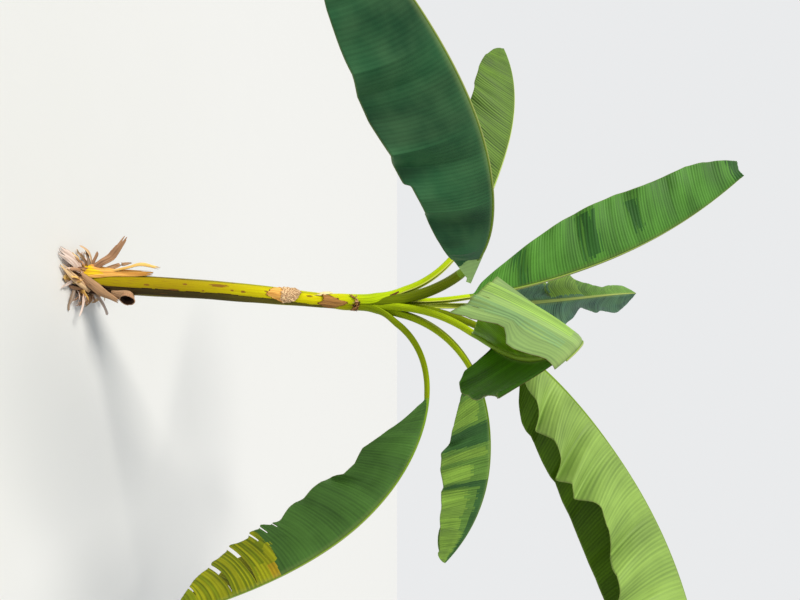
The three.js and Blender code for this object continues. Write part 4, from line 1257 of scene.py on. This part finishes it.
def make_rib(name, leaf, number, materials):
    """A petiole with its sheath round the stem below and the midrib of its blade beyond it."""
    line = Line(leaf)
    petiole = leaf["petiole"]
    end = petiole + leaf["blade"] * leaf.get("reach", 0.995)
    low = SHEATH["foot"]
    s = np.concatenate([np.arange(low, petiole, 5.0), np.arange(petiole, end, 9.0), [end]])
    sides = 36
    turn = full_turn(sides)
    # A ring round the stalk, with its channel above, deepest along the petiole
    width = rib_width(leaf, s)[:, None]
    t = np.clip((s - petiole) / leaf["blade"], 0, 1)[:, None]
    cosine = np.cos(turn)[None]
    hollow = 0.42 - 0.3 * smooth(t / 0.4)
    dent = hollow * np.clip((cosine - 0.55) / 0.45, 0, 1) ** 1.3
    deep = 1.2 - 0.25 * smooth(t / 0.3)
    up = width * deep * (0.44 * cosine - 0.38 - dent)
    up = up - up.max(1, keepdims=True)
    aside = 0.5 * width * np.sin(turn)[None]
    lines = 0.012 * width * np.cos(11 * turn)[None] * np.where(cosine < 0.5, 1, 0)
    place, along, right, above = line.at(np.maximum(s, 0))
    place = place + along * np.minimum(s, 0)[:, None]
    stalk = place[:, None] + (aside + lines * np.sin(turn))[..., None] * right[:, None]
    stalk = stalk + (up + lines * cosine)[..., None] * above[:, None]
    # Lower down, the same ring of points opens into a sheath that lies round the stem.
    z = place[:, 2]
    spread = ease(leaf["wrap"], (low, SHEATH["fork"]), np.clip(s, low, SHEATH["fork"]))[:, None]
    tri = 2 / math.pi * np.arcsin(np.sin(turn))[None]
    wander = 3 * noise(700 + number, s / 60)[:, None]
    azimuth = np.radians(leaf["heading"][0] - (spread + wander) * tri)
    sunk = 8 * (1 - smooth((s - low) / 110))
    level = np.clip(z, 0, STEM["heights"][-1])
    thick = 2.2 * np.sign(cosine) * np.abs(cosine) ** 0.4
    radius = (stem_radius(level) + leaf["proud"] - sunk)[:, None] - thick
    sheath = stem_centre(z)[:, None] + radius[..., None] * spokes(azimuth)
    share = smooth((s - leaf.get("leaves_at", SHEATH["leaves_at"])) / SHEATH["opening"])[:, None, None]
    rings = sheath * (1 - share) + stalk * share
    rings = rings[:, ::-1]  # anticlockwise about the way ahead
    around = np.linspace(0, 1, sides + 1)[::-1]
    pattern = pairs(s[:, None] * MM, around[None])
    middle = ((around[:-1] + around[1:]) / 2)[None]
    start = s[:-1, None]
    upper = np.cos(2 * math.pi * middle) > 0.42
    slots = np.where(start > petiole + 12, np.where(upper, 1, 2), 0)
    margin = np.abs(np.abs(middle - 0.5) - 0.25) < 0.018
    first, last = leaf.get("brown", (0, 0))
    dying = (start > first) & (start < last) & (noise(740 + number, start / 25) > -0.2)
    slots = np.where(margin & dying, 3, slots)
    shell = Shell()
    tube(shell, rings, pattern, slots)
    return shell.make("rib_" + name, materials, "petiole_" + name, slot="petiole")


# The edges of the sheaths on the stem: azimuth at the ground, at each quarter of the height and at
# the fork. OLD and ROTTEN are the slots of a rotted edge, whose maroon is partly painted shade in
# the gap beside the next sheath, and of the dark foot behind the stub, partly rot and partly
# painted shade.
SHEATH_EDGES = (
    (205, 207, 210, 213, 216), (280, 286, 290, 303, 312), (318, 330, 346, 342, 340),
    (410, 414, 418, 422, 425), (490, 487, 484, 481, 478),
)
QUARTERS = (0, 0.25, 0.5, 0.75, 1)
OLD, ROTTEN = 5, 6


def make_stem(sizes, materials):
    """The pseudostem, with the stepped edges, fibres and hollows of its rolled sheaths."""
    sides = 168
    heights = np.linspace(0, 1, 401) ** 1.05 * STEM["heights"][-1]
    turn = np.linspace(0, 360, sides, endpoint=False)
    z, azimuth = np.meshgrid(heights, turn, indexing="ij")
    share = z / heights[-1]
    wander = 6 * noise(11, z / 180)
    edges = [ease(edge, QUARTERS, share) + wander for edge in SHEATH_EDGES]
    # Which sheath each point lies on, and how far across it
    sheath = np.zeros(z.shape, int)
    across = np.zeros(z.shape)
    for k, (edge, following) in enumerate(zip(edges, [*edges[1:], edges[0] + 360])):
        past = (azimuth - edge) % 360
        inside = past < following - edge
        sheath = np.where(inside, k, sheath)
        across = np.where(inside, past / (following - edge), across)
    radius = stem_radius(z) + sizes.sheath_step / MM * (across - 0.6)
    radius += 1.2 * noise(12, azimuth / 40, z / 120) * smooth(z / 60)
    radius += sizes.fibre_height / MM * noise(13, azimuth / 3.1, z / 70)
    radius += 2.5 * np.abs(noise(14, azimuth / 14, z / 50)) * (1 - smooth(z / 110))
    radius -= 4 * smooth((z - 1290) / 100)
    # A rotted edge: maroon, partly painted shade in the gap beside the next sheath.
    rotted = (across > 0.955) & (noise(15, z / 45) > -0.35) & (sheath < 2)
    sheath = np.where(rotted & (z > 120), OLD, sheath)
    # The dark foot behind the stub is partly rot and partly painted shade.
    rotten = (z < 190 + 90 * noise(16, azimuth / 9)) & (np.abs(azimuth - 325) < 42)
    sheath = np.where(rotten, ROTTEN, sheath)
    rings = stem_centre(z) + radius[..., None] * spokes(np.radians(azimuth))
    pattern = pairs(heights[:, None] * MM, np.radians(np.append(turn, 360))[None] * GIRTH)
    shell = Shell()
    tube(shell, rings, pattern, sheath[:-1])
    return shell.make("stem", materials, "pseudostem", slot="stem")


def curve_through(points, share):
    """A centripetal curve through points, and its tangents, as in the part's source."""
    points = np.asarray(points, float)
    ends = np.concatenate([[2 * points[0] - points[1]], points, [2 * points[-1] - points[-2]]])

    def place(t):
        p = np.clip(t, 0, 1) * (len(points) - 1)
        i = np.minimum(np.floor(p).astype(int), len(points) - 2)
        w = (p - i)[:, None]
        a, b, c, d = (ends[i + k] for k in range(4))
        ab, bc, cd = (np.sqrt(np.linalg.norm(y - x, axis=1))[:, None] for x, y in ((a, b), (b, c), (c, d)))
        leave = ((b - a) / ab - (c - a) / (ab + bc) + (c - b) / bc) * bc
        arrive = ((c - b) / bc - (d - b) / (bc + cd) + (d - c) / cd) * bc
        return (
            (2 * w**3 - 3 * w**2 + 1) * b
            + (w**3 - 2 * w**2 + w) * leave
            + (3 * w**2 - 2 * w**3) * c
            + (w**3 - w**2) * arrive
        )

    near = 1e-4
    return place(share), unit(place(share + near) - place(share - near))


def make_strip(name, strip, number, sizes, skins, nodes=()):
    """A strip of dry sheath with pleats, rolled edges and a frayed end."""
    seed = 900 + 10 * number
    frayed = strip.get("frayed", 0.16)
    relief = strip.get("relief", 1.0)
    rows = 80
    share = np.linspace(0, 1, rows)
    place = np.linspace(-1, 1, 23)
    t, across = np.meshgrid(share, place, indexing="ij")
    ragged = 1 - frayed * (0.5 + 0.5 * noise(seed, across * 5)) * np.abs(noise(seed + 1, across * 2.3) * 1.4)
    t = t * np.where(t > 0.6, 1 + (ragged - 1) * smooth((t - 0.6) / 0.4), 1)
    curve, along = curve_through(strip["points"], t.ravel())
    curve = curve.reshape(*t.shape, 3)
    along = along.reshape(*t.shape, 3)
    face = np.asarray(strip["face"], float)
    outward = unit(face - (along @ face)[..., None] * along)
    aside = np.cross(outward, along)
    stations = np.linspace(0, 1, len(strip["width"]))
    half = ease(strip["width"], stations, t) / 2
    half = half * (1 + 0.12 * noise(seed + 2, t * 7, np.sign(across) * 3))
    height = -strip["cup"] * across**2
    height += relief * 1.1 * noise(seed + 3, across * 6, t * 2.5)
    height += relief * 0.6 * noise(seed + 4, across * 12, t * 4)
    height += relief * 2.2 * noise(seed + 5, across * 1.2, t * 5)
    height -= 3.0 * smooth((np.abs(across) - 0.72) / 0.28) * (0.6 + 0.4 * noise(seed + 6, t * 4))
    points = curve + (half * across)[..., None] * aside + height[..., None] * outward
    points[..., 2] = np.maximum(points[..., 2], 2.5)
    under = points - outward * sizes.dry_thickness / MM
    under[..., 2] = np.maximum(under[..., 2], 0.5)
    long = np.linalg.norm(np.diff(curve[:, 11], axis=0), axis=1).sum() * MM
    pattern = np.stack([t * long, across * half * MM], -1)
    slots = 0
    if "patch" in strip:
        inner = across[1:, 1:]
        reach = strip["patch"] * (1 + 0.25 * noise(seed + 7, inner * 3)) - 0.1 * inner**2
        slots = np.where((t[1:, 1:] < reach) & (np.abs(inner) < 0.86), 3, 0)
    shell = Shell()
    two_sided(shell, points, under, pattern, slots=slots)
    cover = skins[strip["skin"]]
    materials = (cover, cover, skins[strip.get("rim", "dark")], skins["yellow"])
    return shell.make(name, materials, *nodes, slot="dry")


def make_scar(name, scar, number, sizes, materials):
    """The dried remains of a sheath round a side of the stem, crumpled above and torn at its edges."""
    seed = 1000 + 10 * number
    turn, low, high = np.array(scar["edge"], float).T
    rows, columns = 80, 90
    azimuth = np.linspace(turn[0], turn[-1], columns)
    ragged = 5 * noise(seed, azimuth / 5) + 3 * noise(seed + 1, azimuth / 1.9)
    bottom = np.interp(azimuth, turn, low) - 0.6 * ragged
    top = np.maximum(np.interp(azimuth, turn, high) + 1.3 * ragged, bottom + 2)
    share, azimuth = np.meshgrid(np.linspace(0, 1, rows), azimuth, indexing="ij")
    z = bottom + share * (top - bottom)
    around = np.radians(azimuth) * 38  # millimetres round the stem
    border = scar["crumpled"] + 9 * noise(seed + 10, around / 8)
    crumpled = smooth((z - border) / 12)
    wobble = 0.9 * noise(seed + 2, around / 11, z / 13)
    rising = np.abs(np.sin(math.pi * ((around + 0.8 * z) / 19 + wobble)))
    falling = np.abs(np.sin(math.pi * ((around - 1.1 * z) / 19 + wobble)))
    chosen = smooth(0.5 + 2.5 * noise(seed + 3, around / 12, z / 16))
    ridges = rising * chosen + falling * (1 - chosen)
    relief = crumpled * (3.6 * ridges + noise(seed + 4, around / 4, z / 4))
    fibres = 0.9 * noise(seed + 5, around / 3, z / 26)
    waves = 1.6 * noise(seed + 6, around / 12, z / 30)
    relief += (1 - crumpled) * (fibres + waves)
    near_edge = np.minimum(share, 1 - share) * (top - bottom)
    lifted = 3.5 * smooth(1 - near_edge / 9) * noise(seed + 7, around / 9, z / 12)
    proud = scar["proud"][0] + np.ptp(scar["proud"]) * crumpled
    radius = stem_radius(z) + proud + relief + lifted
    spoke = spokes(np.radians(azimuth))
    upper = stem_centre(z) + radius[..., None] * spoke
    under = upper - (sizes.dry_thickness / MM + 0.6) * spoke
    pattern = np.stack([z, around], -1) * MM
    # Crevices between the ridges take a darker skin: painted shade.
    crevice_shade = ridges[1:, 1:] + 0.15 * noise(seed + 8, around[1:, 1:] / 3, z[1:, 1:] / 6) < 0.42
    slots = np.where(crumpled[1:, 1:] > 0.5, np.where(crevice_shade, 4, 0), 1)
    burnt = near_edge + 3 * noise(seed + 9, around / 4, z / 4) < 4.5
    slots = np.where(burnt[1:, 1:] & (crumpled[1:, 1:] < 0.5), 3, slots)
    shell = Shell()
    two_sided(shell, upper, under, pattern, slots=slots, under_slots=2)
    return shell.make(name, materials, name, slot="dry")


def make_shreds(name, tuft, number, materials):
    """A tuft of torn, twisted shreds of dry sheath that leave the stem and come down to the ground."""
    count, middle, azimuth, above, beside, length, width, pitch, swing = tuft
    draw = np.random.default_rng(1200 + number)
    shell = Shell()
    steps = 18
    share = np.linspace(0, 1, steps)
    places = np.linspace(-1, 1, 5)
    for k in range(count):
        start = max(4, middle + above * draw.uniform(-1, 1))
        heading = math.radians(azimuth + beside * draw.uniform(-1, 1))
        long = draw.uniform(*length)
        wide = draw.uniform(*width) * (1.5 - 0.5 * draw.uniform())
        fall = math.radians(draw.uniform(20, 110))
        angle = math.radians(draw.uniform(*pitch)) - fall * share**1.3
        way = heading + math.radians(swing) * draw.uniform(-1, 1) + draw.uniform(-0.9, 0.9) * share
        step = np.stack([np.cos(angle) * np.cos(way), np.cos(angle) * np.sin(way), np.sin(angle)], -1)
        root = stem_centre(start) + (stem_radius(start) + 1) * spokes(heading)
        path = root + np.cumsum(step, 0) * long / steps
        floor = 3.5 + 6 * draw.uniform() * share
        path[:, 2] = np.maximum(path[:, 2], floor)
        along = unit(np.gradient(path, axis=0))
        level = unit(np.cross((0, 0, 1), along) + 1e-6)
        face = np.cross(along, level)
        twist = draw.uniform(-0.5, 0.5) + draw.uniform(-0.9, 0.9) * share
        aside = np.cos(twist)[:, None] * level + np.sin(twist)[:, None] * face
        outward = np.cross(aside, along)
        taper = (1 - share) ** draw.uniform(0.12, 0.5) * (0.55 + 0.45 * smooth(share / 0.3))
        half = 0.5 * wide * taper * (1 + 0.25 * noise(1300 + k, share * 6, number))
        dent = 0.28 * half[:, None] * places**2 + 0.5 * noise(1400 + k, places * 2, share[:, None] * 4)
        points = path[:, None] + (half[:, None] * places)[..., None] * aside[:, None]
        points = points - dent[..., None] * outward[:, None]
        points[..., 2] = np.maximum(points[..., 2], 2.0)
        under = points - (0.8 * outward)[:, None]
        under[..., 2] = np.maximum(under[..., 2], 0.6)
        pattern = pairs(share[:, None] * long + 200 * k, half[:, None] * places) * MM
        skin = int(draw.integers(0, len(materials)))
        band = (k / count, (k + 0.9) / count)
        two_sided(shell, points, under, pattern, slots=skin, under_slots=skin, rim_slots=skin, band=band)
    return shell.make(name, materials, slot="dry")


def make_stub(materials):
    """The curled hollow stub of a dead petiole, open at its mouth."""
    sides = 36
    outer = 30
    share = np.concatenate([np.linspace(0, 1, outer), np.linspace(1, 0.45, 16)])
    curve, along = curve_through(STUB["points"], share)
    inside = np.arange(len(share)) >= outer
    aside = unit(np.cross((0, 0, 1), along))
    above = np.cross(along, aside)
    turn = full_turn(sides)
    radius = np.where(inside, STUB["radius"] - 3.5 - 3 * (1 - share), STUB["radius"])[:, None]
    radius = radius * (1 + 0.25 * smooth((share[:, None] - 0.7) / 0.3))
    radius = radius + 1.2 * noise(31, turn[None] * 3, share[:, None] * 6)
    ragged = 5 * noise(32, turn * 2.2) * smooth((share[:, None] - 0.8) / 0.2)
    spoke = np.cos(turn)[None, :, None] * aside[:, None] + np.sin(turn)[None, :, None] * above[:, None]
    # The rim is torn aslant, and stands up at the back and towards the stem.
    behind = spoke @ unit(np.array((-0.7, 0.35, 0.6)))
    ragged = ragged + (17 * behind - 6) * smooth((share[:, None] - 0.55) / 0.45)
    rings = curve[:, None] + radius[..., None] * spoke + ragged[..., None] * along[:, None]
    pattern = pairs(np.linspace(0, 0.2, len(share))[:, None], np.linspace(0, 0.14, sides + 1)[None])
    shell = Shell()
    capped = (share[:-1, None] + 0.08 * noise(33, turn[None] * 1.5) > 0.76) & (behind[:-1] > 0.05)
    # The inside of the hollow takes the dark skin: painted shade.
    slots = np.where(inside[:-1, None], 1, np.where(capped, 2, 0))
    tube(shell, rings, pattern, slots)
    return shell.make("stub", materials, "dead_petiole_stub", slot="dry")


def settings():
    """The plant's sizes and colours."""
    scene = bpy.context.scene
    return scene.plant_sizes, scene.leaf_colours, scene.plant_colours


class PLANT_OT_stem(Operator):
    """Builds the pseudostem"""

    bl_idname = "plant.stem"
    bl_label = "Stem"

    def execute(self, context):
        sizes, _, colours = settings()
        young = stem_material("stem_young", colours.stem, colours.stem_streak, colours)
        # The old sheath lies on the stem's front right; its olive is partly painted shade.
        olive = stem_material("stem_olive", colours.stem_olive, colours.olive_streak, colours, 0.42)
        green = stem_material("stem_green", colours.stem_green, colours.stem, colours)
        edge = stem_material("stem_edge", colours.maroon, colours.rust, colours)
        rotten = stem_material("stem_rotten", colours.dark, colours.dry_brown, colours)
        make_stem(sizes, (young, olive, green, young, green, edge, rotten))
        return {"FINISHED"}


class PLANT_OT_ribs(Operator):
    """Builds the petioles, with their sheaths and midribs"""

    bl_idname = "plant.ribs"
    bl_label = "Petioles and midribs"

    def execute(self, context):
        _, _, colours = settings()
        below = fibrous_material(
            "midrib_below", colours.midrib_under, colours.under_streak, colours.rust, **RIB_FINISH
        )
        rotted = fibrous_material("sheath_margin", colours.maroon, colours.rust, colours.dark)
        streaks = colours.midrib_streak
        for number, (name, leaf) in enumerate(LEAVES.items()):
            stalk = petiole_material("petiole_" + name, colours.petiole, colours, leaf["shade"])
            pale = [c * leaf["rib_shade"] for c in colours.midrib]
            above = fibrous_material("midrib_" + name, pale, streaks, colours.rust, **RIB_FINISH)
            make_rib(name, leaf, number, (stalk, above, below, rotted))
        return {"FINISHED"}


class PLANT_OT_leaves(Operator):
    """Builds the blades of the leaves"""

    bl_idname = "plant.leaves"
    bl_label = "Leaves"

    def execute(self, context):
        sizes, leaves, colours = settings()
        green = fibrous_material("leaf_edge", colours.leaf_edge, colours.leaf_edge_streak, colours.dark)
        torn = fibrous_material("leaf_torn_edge", colours.torn_edge, colours.torn_edge_streak, colours.dark)
        tints = [
            leaf_material(
                "leaf_" + tint, getattr(colours, tint), colours, SHEEN_LOOK if tint == "sheen" else TINT_LOOK
            )
            for tint in TINTS
        ]
        for number, (name, leaf) in enumerate(LEAVES.items()):
            look = leaf["look"]
            bloom = leaf.get("bloom", 0.04)
            upper = leaf_material("leaf_upper_" + name, getattr(leaves, name), colours, look, bloom)
            base = getattr(leaves, name + "_under")
            under = leaf_material("leaf_under_" + name, base, colours, look, roughness=DULL)
            left = under
            # On the front leaf the right half's bright under side is painted light through the blade, and
            # the left half's dark under side painted shade.
            if name == "front":
                base = leaves.front_under_left
                left = leaf_material("leaf_under_left", base, colours, look, roughness=DULL)
            edge = torn if name in {"front", "right_low"} else green
            make_leaf(name, leaf, number, sizes, (upper, under, edge, left, *tints))
        return {"FINISHED"}


class PLANT_OT_dry(Operator):
    """Builds the dry sheaths, the scars and the stub"""

    bl_idname = "plant.dry_sheaths"
    bl_label = "Dry sheaths"

    def execute(self, context):
        sizes, _, colours = settings()
        dark = fibrous_material("dry_dark", colours.dark, colours.dark_streak, colours.dark, **DARK_FINISH)
        skins = {"dark": dark}
        for name, (*others, amount) in DRY_SKINS.items():
            base, second, specks = (getattr(colours, key) for key in ("dry_" + name, *others))
            skins[name] = fibrous_material("dry_" + name, base, second, specks, spots=amount, **DRY_FINISH)
        for number, (name, strip) in enumerate(STRIPS.items()):
            make_strip(name, strip, number, sizes, skins, (name,))
        make_strip("sheath_lip", LIP, len(STRIPS), sizes, skins)
        for number, (name, scar) in enumerate(SCARS.items()):
            make_scar(name, scar, number, sizes, [skins[skin] for skin in scar["skins"]])
        for number, (name, tuft) in enumerate(TUFTS.items()):
            covers = KNOT_SKINS if name == "shreds_knot" else GROUND_SKINS
            make_shreds(name, tuft, number, [skins[skin] for skin in covers])
        # The stub's dark inside is painted shade.
        make_stub((skins["brown"], skins["dark"], skins["tan"]))
        return {"FINISHED"}


CAMERA = {"place": (0.089, -2.77, 1.5), "focal": 590, "image": 800, "sensor": 36, "reach": 1000}
SUN = {"towards": (-0.63, -0.44, 0.64), "strength": 3.2, "soft": 22, "colour": (1.0, 0.97, 0.9)}
FLOOR_REACH = 300
SKY = (0.5, 0.53, 0.56, 1)
BACKDROP = (0.82, 0.83, 0.84, 1)


class PLANT_OT_stage(Operator):
    """Builds the floor, the lights and the camera"""

    bl_idname = "plant.stage"
    bl_label = "Stage"

    def execute(self, context):
        _, _, colours = settings()
        scene = context.scene
        mesh = bpy.data.meshes.new("floor")
        square = [(x * FLOOR_REACH, y * FLOOR_REACH, 0) for x, y in ((-1, -1), (1, -1), (1, 1), (-1, 1))]
        mesh.from_pydata(square, [], [(0, 1, 2, 3)])
        floor = bpy.data.objects.new("floor", mesh)
        scene.collection.objects.link(floor)
        material = bpy.data.materials.new("floor")
        material.use_nodes = True
        g = Graph(material.node_tree)
        shader = material.node_tree.nodes["Principled BSDF"]
        grain = g.noise(g.read("TexCoord", output="Object"), 4.0, scale=3.0)
        pale = g.mix(grain * 0.1, opaque(colours.floor), opaque(colours.floor, 0.9))
        g.put(shader.inputs["Base Color"], pale)
        g.put(shader.inputs["Roughness"], 0.8)
        mesh.materials.append(material)

        world = bpy.data.worlds.new("studio")
        scene.world = world
        world.use_nodes = True
        g = Graph(world.node_tree)
        seen = g.read("LightPath", output="Is Camera Ray")
        g.put(world.node_tree.nodes["Background"].inputs["Color"], g.mix(seen, SKY, BACKDROP))

        lamp = bpy.data.lights.new("key", "SUN")
        lamp.energy = SUN["strength"]
        lamp.angle = math.radians(SUN["soft"])
        lamp.color = SUN["colour"]
        key = bpy.data.objects.new("key", lamp)
        key.rotation_euler = Vector(SUN["towards"]).to_track_quat("Z", "Y").to_euler()
        scene.collection.objects.link(key)

        lens = bpy.data.cameras.new("camera")
        lens.sensor_width = CAMERA["sensor"]
        lens.lens = CAMERA["focal"] / CAMERA["image"] * CAMERA["sensor"]
        lens.clip_end = CAMERA["reach"]
        camera = bpy.data.objects.new("camera", lens)
        # The photograph lies on its side, so the camera's own right is up.
        turn = Matrix(((0, -1, 0), (0, 0, -1), (1, 0, 0)))
        camera.matrix_world = Matrix.Translation(CAMERA["place"]) @ turn.to_4x4()
        scene.collection.objects.link(camera)
        scene.camera = camera
        scene.view_settings.view_transform = "Standard"
        return {"FINISHED"}


OPERATORS = (PLANT_OT_stage, PLANT_OT_stem, PLANT_OT_ribs, PLANT_OT_leaves, PLANT_OT_dry)


class PLANT_PT_sidebar(Panel):
    """Lists the plant's pieces and its settings"""

    bl_idname = "PLANT_PT_sidebar"
    bl_label = "Banana plant"
    bl_space_type = "VIEW_3D"
    bl_region_type = "UI"
    bl_category = "Banana plant"

    def draw(self, context):
        for operator in OPERATORS:
            self.layout.operator(operator.bl_idname)
        for holder in settings():
            box = self.layout.box()
            for name in holder.bl_rna.properties.keys():
                if name not in {"rna_type", "name"}:
                    box.prop(holder, name)


CLASSES = (PlantSizes, LeafColours, PlantColours, *OPERATORS, PLANT_PT_sidebar)


def register():
    """Adds the classes and the scene's settings."""
    for kind in CLASSES:
        bpy.utils.register_class(kind)
    bpy.types.Scene.plant_sizes = PointerProperty(type=PlantSizes)
    bpy.types.Scene.leaf_colours = PointerProperty(type=LeafColours)
    bpy.types.Scene.plant_colours = PointerProperty(type=PlantColours)


def unregister():
    """Takes them away again."""
    del bpy.types.Scene.plant_colours
    del bpy.types.Scene.leaf_colours
    del bpy.types.Scene.plant_sizes
    for kind in reversed(CLASSES):
        bpy.utils.unregister_class(kind)


def main():
    """Builds the whole plant."""
    register()
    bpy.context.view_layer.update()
    bpy.ops.plant.stage()
    bpy.ops.plant.stem()
    bpy.ops.plant.ribs()
    bpy.ops.plant.leaves()
    bpy.ops.plant.dry_sheaths()


if __name__ == "__main__":
    main()
